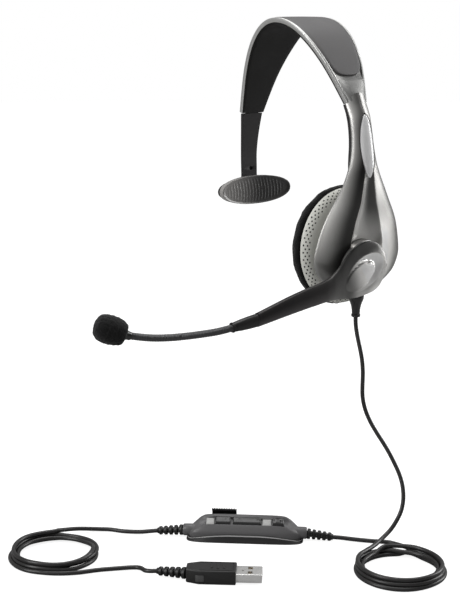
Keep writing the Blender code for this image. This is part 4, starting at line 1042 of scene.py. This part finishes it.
def bar_rings(stations, n=32):
    out = []
    for c, d, hz, hx in stations:
        d = Vector(d).normalized()
        side = Vector((1, 0, 0)) - d * d.x
        side.normalize()
        upv = d.cross(side)
        out.append([P(*c) + (side * hx * math.copysign(abs(math.cos(2 * math.pi * k / n)) ** 0.8, math.cos(2 * math.pi * k / n)) + upv * hz * math.copysign(abs(math.sin(2 * math.pi * k / n)) ** 0.85, math.sin(2 * math.pi * k / n))) * MM for k in range(n)])
    return out


GOOSE = [(60.1, -102.0, -160.5), (59.0, -108.5, -161.3), (56.2, -115.6, -162.1), (50.0, -127.7, -163.2), (44.0, -141.2, -162.9), (38.7, -152.6, -160.9)]
c0, c1 = np.array((60.6, -84.3, -158.5)), np.array((60.2, -101.4, -160.3))
st = []
for u, hz, hx in ((0, 3.3, 2.3), (0.02, 3.55, 2.55), (0.3, 3.45, 2.5), (0.62, 3.1, 2.45), (0.80, 2.75, 2.35), (0.86, 2.65, 2.3), (0.885, 2.35, 2.15), (0.93, 2.3, 2.15), (0.945, 2.75, 2.5), (0.985, 2.75, 2.5), (1.0, 2.4, 2.3)):
    st.append((tuple(c0 + (c1 - c0) * u), (0, -1, -0.08), hz, hx))
collar = loft("boom_collar_look", bar_rings(st), M["black"], sharp=35)
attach(collar, "boom"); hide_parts("boom_collar")


def ribbed_tube(name, path, radius, pitch, depth, mat, sides=20, per=7):
    "wound steel gooseneck: a tube whose surface rises and falls with each turn of its wire"
    path = np.array(path, float)
    p = resample(path, pitch / per)
    n = len(p)
    t = np.gradient(p, axis=0)
    t /= np.linalg.norm(t, axis=1)[:, None]
    u = np.zeros_like(p)
    v0 = np.cross(t[0], (0, 0, 1.0))
    v0 /= np.linalg.norm(v0)
    rings = []
    for i in range(n):
        v0 = v0 - t[i] * (v0 @ t[i])
        v0 /= np.linalg.norm(v0)
        w0 = np.cross(t[i], v0)
        ring = []
        for k in range(sides):
            a = 2 * math.pi * k / sides
            ph = 2 * math.pi * (i / per) + a
            r = radius - depth * (0.5 - 0.5 * math.cos(ph)) ** 2
            q = p[i] + r * (math.cos(a) * v0 + math.sin(a) * w0)
            ring.append(P(*q))
        rings.append(ring)
    return loft(name, rings, mat, sharp=180)


goose = smooth_path(GOOSE, 0.5)
BEND = np.array(GOOSE[3])
gi = int(np.argmin(np.linalg.norm(goose - BEND, axis=1)))
BEND = goose[gi]
rear_line = np.concatenate([[np.array((60.2, -101.0, -160.4))], goose[:gi - 1]])
front_line = goose[gi + 1:]
g_rear = ribbed_tube("gooseneck_rear_look", rear_line, 2.0, 0.85, 0.22, M["goose"])
g_front = ribbed_tube("gooseneck_front_look", front_line, 2.0, 0.85, 0.22, M["goose"])
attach(g_rear, "boom"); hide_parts("gooseneck_rear")
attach(g_front, "microphone"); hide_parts("gooseneck_front")
knuckle = turned("gooseneck_knuckle_look", [(1.98 * math.sin(math.pi * k / 24), 1.98 * math.cos(math.pi * k / 24)) for k in range(25)], 32, M["goose"], P(*BEND), tuple(t for t in (goose[gi + 1] - goose[gi - 1])))
knuckle.data.vertices  # ball under the bend
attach(knuckle, "boom"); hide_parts("gooseneck_knuckle")

MIC_D = Vector((-4.6, -9.3, 3.9)).normalized()
MIC_0 = Vector(GOOSE[-1]) + MIC_D * 0.4


def mic(name, profile, steps, mat):
    return turned(name, [(r * 0.92, h * 0.93) for r, h in profile], steps, mat, P(*MIC_0), tuple(MIC_D))


mh = mic("mic_housing_look", [(0, 8.0), (3.6, 8.0), (4.4, 7.2), (4.4, 2.6), (4.1, 1.6), (3.2, 0.9), (2.6, 0.1), (2.5, -1.6), (2.2, -2.0), (0, -2.0)], 48, M["gloss"])
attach(mh, "microphone"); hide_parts("mic_housing")
prof = [(0, 19.7), (2.2, 19.5), (4.2, 18.95), (6.0, 17.9), (7.3, 16.3), (8.0, 14.2), (8.3, 11.6), (8.25, 9.0), (7.9, 6.4), (7.2, 4.0), (6.3, 2.3), (5.4, 1.5), (4.9, 1.6), (4.7, 2.6), (4.6, 5.5), (4.6, 8.6), (4.2, 11.0), (0, 11.6)]
pr = spline(prof[:12], np.linspace(0, 11, 60))
full = [tuple(p) for p in pr] + prof[12:]
full[0] = (0, 19.7)
ws = mic("mic_windscreen_foam", full, 96, M["foam"])
for v in ws.data.vertices:
    q = (v.co - P(*MIC_0)) * 1000
    h = q.dot(MIC_D)
    rad = q - MIC_D * h
    if rad.length > 4.8 or h > 13.5:
        nrm = (q - MIC_D * 10.5).normalized()
        n_ = value_noise(q.x * 0.5, q.y * 0.5, q.z * 0.5, 0.3) * 0.12 + value_noise(q.x * 2.1, q.y * 2.1, q.z * 2.3, 1.3) * 0.07
        v.co += nrm * n_ * MM
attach(ws, "microphone"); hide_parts("mic_windscreen")

# ------------------------------------------------------------------ cup strain relief
rel = [(0, -155.6), (3.1, -155.6), (4.0, -156.2), (4.5, -157.4), (4.6, -158.8), (4.3, -160.4), (3.5, -162.3), (3.05, -163.6), (2.72, -165.0), (2.5, -166.6), (2.38, -168.2), (2.36, -168.9),
       (2.62, -169.1), (2.68, -169.5), (2.66, -170.4), (2.4, -170.7), (1.32, -170.75), (0, -170.7)]
cup_relief = turned("cup_strain_relief_look", rel, 64, M["gloss"], P(48.3, 0, 0), (0, 0, 1))
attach(cup_relief, "root"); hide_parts("cup_strain_relief")

# ------------------------------------------------------------------ inline controller
half_l, half_w = CTRL_L / 2, CTRL_W / 2


def CPT(x, y, z):
    "the key face leans towards the user: the box is higher at the back than at the front"
    lean = float(smoothstep((z - 3.6) / 7.0))
    return CP(x, y, z + lean * 0.50 * (min(y, 3.0) + 1.9))




def plan(a, b, n=96, e1=0.42, e2=0.62):
    return [(a * math.copysign(abs(math.cos(t)) ** e1, math.cos(t)), b * math.copysign(abs(math.sin(t)) ** e2, math.sin(t))) for t in [2 * math.pi * (k + 0.5) / n for k in range(n)]]


def seam(x):
    "height of the arched joint between base and top"
    return 0.9 + 3.3 * (1 - min(1, abs(x) / 31.5) ** 2.6)


base_plan = plan(half_l + 1.1, half_w + 0.35, e1=0.30, e2=0.55)
top_plan = plan(half_l, half_w - 0.55, e1=0.40, e2=0.62)
rings = []
for u in (0.0, 0.06, 0.3, 0.6, 0.86, 1.0):
    ring = []
    for (bx, by), (tx, ty) in zip(base_plan, top_plan):
        zs_ = seam(tx) + 0.25
        k = 0.92 if u == 0.0 else 1.0
        x = bx + (tx - bx) * u ** 1.6 + 0.18 * (1 if bx > 0 else -1) * 0
        y = by + (ty - by) * u ** 1.6
        if u == 0.0:
            x, y = bx * 0.992, by * 0.95
        if by < 0:
            y -= 1.3 * (1 - u) * min(1.0, -by / 5.0)
        grow = 0.28 * math.sin(min(1, u / 0.88) * math.pi / 2) if u > 0.7 else 0
        ring.append(CP(x * (1 + grow / 33), y * (1 + grow / 7), max(0.0, zs_ * u)))
    rings.append(ring)
base_piece = loft("controller_base_look", rings, M["base"], sharp=32)
base_piece.data.materials.append(M["lip"])
# the top band of the base, along the seam, takes the light grey: painted highlight
for k, f in enumerate(base_piece.data.polygons):
    if 4 * len(top_plan) <= k < 5 * len(top_plan):
        f.material_index = 1
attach(base_piece, "root"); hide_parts("controller_base")

rings = []
for u, ins, lift_ in ((0.0, 0.55, -1.2), (0.02, 0.30, -0.2), (0.10, 0.18, 0), (0.3, 0.0, 0), (0.55, 0.35, 0), (0.72, 0.95, 0), (0.84, 1.65, 0), (0.92, 2.35, 0), (0.97, 3.1, 0), (1.0, 4.1, 0)):
    ring = []
    for tx, ty in top_plan:
        z0 = seam(tx) + 0.1
        # the ends slope down to the strain reliefs
        end = float(smoothstep((abs(tx) - 26.5) / 7.5))
        ztop = CTRL_H - 0.15 - 2.4 * end ** 1.5
        z = z0 + (ztop - z0) * u + lift_
        fx = max(0.0, 1 - ins * 2.2 / half_l)
        fy = max(0.0, 1 - ins / (half_w - 0.55))
        ring.append(CPT(tx * fx, ty * fy, z))
    rings.append(ring)
top_piece = loft("controller_top_look", rings, M["ctrl"], sharp=35)
KEYS = [("keypad_panel_left", -22.6, -17.9, "panel"), ("mute_button", -17.2, -8.4, "key"), ("volume_rocker", -7.0, 9.6, "key"), ("keypad_panel_right", 10.4, 15.6, "panel"), ("call_button", 16.3, 22.9, "key")]
KEY_Y, KEY_W = -1.2, 4.6
win = boxed("c1", (46.6, KEY_W + 0.8, 4.2), (0.15, KEY_Y, 11.3), CPT)
bevelled(win, 0.5, 3, 60)
cut(top_piece, win, sharp=35)
# sockets of the two strain reliefs
for sx in (-1, 1):
    sock = turned("s", [(0, 3.2), (3.1, 3.2), (3.5, 2.6), (3.6, -1.0), (3.6, -6.0), (0, -6.0)], 48, None, CP(sx * half_l, 0, CR_H), tuple(Vector(CP(sx * 10, 0, 0)) - Vector(CP(0, 0, 0))))
    cut(top_piece, sock, 'UNION', sharp=35)
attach(top_piece, "root"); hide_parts("controller_top_shell")


def key_block(name, x0, x1, z_low, z_high, crown, mat, marks=()):
    bm = bmesh.new()
    nx, ny = 22, 10
    top, bot = [], []
    for i in range(nx + 1):
        fx = -1 + 2 * i / nx
        fx = math.copysign(1 - (1 - abs(fx)) ** 1.5, fx)
        tr, br = [], []
        for j in range(ny + 1):
            fy = -1 + 2 * j / ny
            fy = math.copysign(1 - (1 - abs(fy)) ** 1.5, fy)
            x = (x0 + x1) / 2 + fx * (x1 - x0) / 2
            y = KEY_Y + fy * KEY_W / 2
            ex = (x1 - x0) / 2 * (1 - abs(fx))
            ey = KEY_W / 2 * (1 - abs(fy))
            d = min(ex, ey)
            z = z_high + crown * (1 - fy * fy) - 0.35 * (1 - min(1, d / 0.5)) ** 2
            for mx, my, mw, mh in marks:
                if abs(x - mx) < mw and abs(y - my) < mh:
                    z += 0.18
            tr.append(bm.verts.new(CPT(x, y, z)))
            br.append(bm.verts.new(CPT(x, y, z_low)))
        top.append(tr)
        bot.append(br)
    for rows, flip in ((top, False), (bot, True)):
        for a, b in zip(rows[:-1], rows[1:]):
            for j in range(ny):
                bm.faces.new((a[j], b[j], b[j + 1], a[j + 1]) if not flip else (a[j], a[j + 1], b[j + 1], b[j]))
    for i in range(nx):
        bm.faces.new((top[i][0], bot[i][0], bot[i + 1][0], top[i + 1][0]))
        bm.faces.new((top[i][-1], top[i + 1][-1], bot[i + 1][-1], bot[i][-1]))
    for j in range(ny):
        bm.faces.new((top[0][j], top[0][j + 1], bot[0][j + 1], bot[0][j]))
        bm.faces.new((top[-1][j], bot[-1][j], bot[-1][j + 1], top[-1][j + 1]))
    return from_bm(name, bm, mat, sharp=50)


for name, x0, x1, look in KEYS:
    if look == "panel":
        k = key_block(name + "_look", x0, x1, 8.8, CTRL_H - 0.75, 0.02, M["panel"])
        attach(k, "root")
    else:
        marks = {"mute_button": [(-12.8, KEY_Y, 1.5, 0.5)], "volume_rocker": [(-3.8, KEY_Y, 1.0, 0.45), (6.4, KEY_Y, 1.0, 0.45)], "call_button": [(19.6, KEY_Y, 1.3, 0.8)]}[name]
        k = key_block(name + "_look", x0, x1, 8.8, CTRL_H + 0.35, 0.25, M["key"], marks)
        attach(k, {"mute_button": "mute_key", "volume_rocker": "volume_key", "call_button": "call_key"}[name])
    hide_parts(name)


def relief_look(name, sgn, face, length, n, fn, h, node, root_r=3.25, droop=2.1, side=0.0):
    prof = []
    start = face + 0.3
    step = length / n
    prof += [(0, start)]
    for k in range(n):
        r = root_r - 0.9 * k / n
        s0 = start + k * step
        prof += [(r - 0.35, s0), (r, s0 + 0.3), (r, s0 + step * 0.5), (r - 0.35, s0 + step * 0.66), (1.75, s0 + step * 0.70), (1.75, s0 + step * 0.98)]
    prof += [(1.6, start + length), (1.28, start + length + 0.1), (0, start + length + 0.1)]
    # the far end hangs a little towards the table
    a0, a1 = Vector(fn(sgn * face, 0, h)), Vector(fn(sgn * (face + length), side, h - droop))
    ax = (a1 - a0).normalized()
    ob = turned(name, [(r, q - face) for r, q in prof[::-1]], 40, M["rubber"], a0, tuple(ax), sharp=40)
    # two windows cut through each rib's groove, at the sides
    for k in range(n):
        s0 = start + k * step + step * 0.82
        c = boxed("w", (step * 0.26, 9, 1.3), (sgn * s0, side * (s0 - face) / length, h - droop * (s0 - face) / length), fn)
        cut(ob, c, sharp=40)
    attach(ob, "root"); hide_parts(node)
    return ob


rel_r = relief_look("controller_relief_right_look", 1, half_l, 18.3, 6, CP, CR_H, "controller_relief_right")
rel_l = relief_look("controller_relief_left_look", -1, half_l, 18.3, 6, CP, CR_H, "controller_relief_left", droop=1.2)

# clothing clip: jaw under the box, ribbed finger tab above it
jaw = [(-2.0, -4.7), (-1.0, -4.9), (1.6, -1.6), (2.0, 0.0), (1.7, 1.4), (1.0, 6.4), (-0.4, 9.0), (-2.7, 9.6), (-2.7, 8.5), (-1.2, 7.8), (-0.2, 6.2), (0.2, 2.2), (-1.4, 1.7), (-1.9, 0.0), (-1.5, -1.6), (-0.6, -2.4)]
clip_y, clip_z = half_w + 2.5, 5.2
rings = []
cw = 7.3
for x in np.linspace(-12.9 - cw, -12.9 + cw, 59):
    groove = 0.0
    ring = []
    for jy, jz in jaw:
        dz = 0.0
        if jz > 9.0 or (jz > 8.9):
            dz = 0.28 * math.cos(2 * math.pi * (x + 12.9) / 1.46)
        ring.append(CP(x, clip_y + jy, clip_z + jz + dz))
    rings.append(ring)
clip_piece = loft("clothing_clip_look", rings, M["black"], sharp=35)
cut(clip_piece, turned("c1", [(0, 12), (0.9, 12), (0.9, -12), (0, -12)], 24, None, CP(-12.9, clip_y, clip_z), tuple(Vector(CP(10, 0, 0)) - Vector(CP(0, 0, 0)))), sharp=35)
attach(clip_piece, "clip"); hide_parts("clothing_clip")
for sx in (-1, 1):
    ear = boxed("clip_ear_%s_look" % ("right" if sx > 0 else "left"), (1.3, 5.4, 5.6), (-12.9 + sx * 9.0, half_w + 1.4, 3.4), CP, M["base"])
    bevelled(ear, 0.5, 3, 60)
    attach(ear, "root")

# ------------------------------------------------------------------ USB plug
OM_L, OM_W, OM_H = 27.4, 13.6, 7.9


def prism(name, pts, z0, z1, fn, mat=None):
    bm = bmesh.new()
    lo = [bm.verts.new(fn(x, y, z0)) for x, y in pts]
    hi = [bm.verts.new(fn(x, y, z1)) for x, y in pts]
    n = len(pts)
    for i in range(n):
        j = (i + 1) % n
        bm.faces.new((lo[i], lo[j], hi[j], hi[i]))
    bm.faces.new(lo[::-1])
    bm.faces.new(hi)
    return from_bm(name, bm, mat, sharp=30)


om_plan = [(-17.4, -4.2), (-10.2, -OM_W / 2), (10.0, -OM_W / 2), (10.0, OM_W / 2), (-10.2, OM_W / 2), (-17.4, 4.2)]
om = prism("usb_overmold_look", om_plan, 0.0, OM_H, UP, M["mould"])
bevelled(om, 0.7, 4, 25)
# raised field's outline: a shallow groove round the top, open towards the cord
cut(om, boxed("g1", (18.6, 0.55, 1.0), (-0.9, 5.2, OM_H), UP), sharp=30)
cut(om, boxed("g2", (0.5, 10.9, 0.8), (8.4, 0, OM_H), UP), sharp=30)
cut(om, boxed("g3", (18.6, 0.4, 0.8), (-0.9, -5.2, OM_H), UP), sharp=30)
# grip panels set into both sides
for sy in (-1, 1):
    cut(om, boxed("g4", (5.0, 1.0, 4.2), (-9.6, sy * (OM_W / 2 + 0.02), 3.5), UP), sharp=30)
for sy, side in ((-1, "front"), (1, "rear")):
    grip = boxed("usb_grip_" + side, (4.6, 0.5, 3.8), (-9.6, sy * (OM_W / 2 - 0.28), 3.5), UP, M["grip"])
    bevelled(grip, 0.12, 2, 60)
    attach(grip, "root")
# generic mark: three short raised bars
for k, x in enumerate((-3.4, 0.0, 3.4)):
    bar = boxed("b", (1.3, 5.6 - 1.2 * abs(k - 1), 0.6), (x, 0, OM_H), UP)
    bevelled(bar, 0.18, 2, 60)
    cut(om, bar, 'UNION', sharp=30)
cut(om, boxed("nose", (12.0, 12.5, 4.9), (9.6, 0, USB_H), UP), sharp=30)
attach(om, "root"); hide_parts("usb_overmold")

us = boxed("usb_shell_look", (21.0, 12.0, 4.9), (13.6, 0, USB_H + 0.1), UP, M["usb"])
bevelled(us, 0.55, 4, 60)
cut(us, boxed("m", (22.0, 11.3, 3.8), (14.2, 0, USB_H), UP), sharp=30)
for sy in (-1, 1):
    for up_ in (-1, 1):
        cut(us, boxed("l", (2.6, 3.0, 2.4), (17.6, sy * 2.9, USB_H + 0.1 + up_ * 2.3), UP), sharp=30)
cut(us, turned("d", [(0, 2), (0.6, 2), (0.6, -2), (0, -2)], 20, None, UP(13.6, -0.4, USB_H + 2.2)), sharp=30)
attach(us, "root"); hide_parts("usb_shell")
rel_u = relief_look("usb_relief_look", -1, 17.3, 16.6, 5, UP, USB_H, "usb_relief", droop=0.5, side=3.2)

# ------------------------------------------------------------------ floor and light
bm = bmesh.new()
bmesh.ops.create_circle(bm, cap_ends=True, radius=4.0, segments=96)
for v in bm.verts:
    v.co.z = (FLOOR - CROWN[2]) * MM
fm = bpy.data.materials.new("floor")
fm.use_nodes = True
ft = fm.node_tree
ft.nodes.clear()
fo = ft.nodes.new("ShaderNodeOutputMaterial")
fd = ft.nodes.new("ShaderNodeBsdfDiffuse")
fd.inputs["Color"].default_value = (0.34, 0.34, 0.34, 1)
fd2 = ft.nodes.new("ShaderNodeBsdfDiffuse")
fd2.inputs["Color"].default_value = (0.40, 0.40, 0.40, 1)
fe = ft.nodes.new("ShaderNodeEmission")
fe.inputs["Color"].default_value = (1, 1, 1, 1)
fe.inputs["Strength"].default_value = 0.87
fa = ft.nodes.new("ShaderNodeAddShader")
fl = ft.nodes.new("ShaderNodeLightPath")
fx = ft.nodes.new("ShaderNodeMixShader")
ft.links.new(fl.outputs["Is Camera Ray"], fx.inputs["Fac"])
ft.links.new(fd2.outputs["BSDF"], fa.inputs[0])
ft.links.new(fe.outputs["Emission"], fa.inputs[1])
ft.links.new(fd.outputs["BSDF"], fx.inputs[1])
ft.links.new(fa.outputs["Shader"], fx.inputs[2])
ft.links.new(fx.outputs["Shader"], fo.inputs["Surface"])
floor = from_bm("floor", bm, fm)

world = bpy.data.worlds.new("studio")
scene.world = world
world.use_nodes = True
wt = world.node_tree
bg = wt.nodes["Background"]
out = wt.nodes["World Output"]
geo = wt.nodes.new("ShaderNodeTexCoord")
vdot = wt.nodes.new("ShaderNodeVectorMath")
vdot.operation = 'DOT_PRODUCT'
DARK_AZ = math.radians(4)
vdot.inputs[1].default_value = Vector((math.cos(DARK_AZ), math.sin(DARK_AZ), 0.22)).normalized()
wt.links.new(geo.outputs["Generated"], vdot.inputs[0])
ramp = wt.nodes.new("ShaderNodeValToRGB")
mr = wt.nodes.new("ShaderNodeMapRange")
mr.inputs["From Min"].default_value = -1
mr.inputs["From Max"].default_value = 1
wt.links.new(vdot.outputs["Value"], mr.inputs["Value"])
wt.links.new(mr.outputs["Result"], ramp.inputs["Fac"])
e = ramp.color_ramp.elements
e[0].position = 0.0
e[0].color = (0.40, 0.40, 0.40, 1)
e[1].position = 1.0
e[1].color = (0.20, 0.20, 0.20, 1)
for pos, v in ((0.30, 0.50), (0.48, 0.88), (0.66, 0.82), (0.82, 0.52), (0.93, 0.30)):
    q = ramp.color_ramp.elements.new(pos)
    q.color = (v, v, v, 1)
wt.links.new(ramp.outputs["Color"], bg.inputs["Color"])
bg.inputs["Strength"].default_value = 0.62
bg2 = wt.nodes.new("ShaderNodeBackground")
bg2.inputs["Color"].default_value = (1, 1, 1, 1)
bg2.inputs["Strength"].default_value = 1.0
lp = wt.nodes.new("ShaderNodeLightPath")
mix = wt.nodes.new("ShaderNodeMixShader")
wt.links.new(lp.outputs["Is Camera Ray"], mix.inputs["Fac"])
wt.links.new(bg.outputs["Background"], mix.inputs[1])
wt.links.new(bg2.outputs["Background"], mix.inputs[2])
wt.links.new(mix.outputs["Shader"], out.inputs["Surface"])


def softbox(name, pos, target, size, power, size_y=None):
    ld = bpy.data.lights.new(name, 'AREA')
    ld.shape = 'RECTANGLE'
    ld.size = size
    ld.size_y = size_y or size
    ld.energy = power
    ob = bpy.data.objects.new(name, ld)
    ob.location = pos
    d = Vector(target) - Vector(pos)
    ob.rotation_euler = d.to_track_quat('-Z', 'Y').to_euler()
    link(ob)
    return ob


mid = (0.02, -0.02, -0.12)
softbox("top", (-0.20, 0.15, 0.80), mid, 0.8, 5.0)
softbox("right", (0.30, 0.85, 0.20), mid, 0.35, 4.5, 0.8)
softbox("left", (-0.10, -0.95, 0.25), mid, 0.35, 4.0, 0.8)
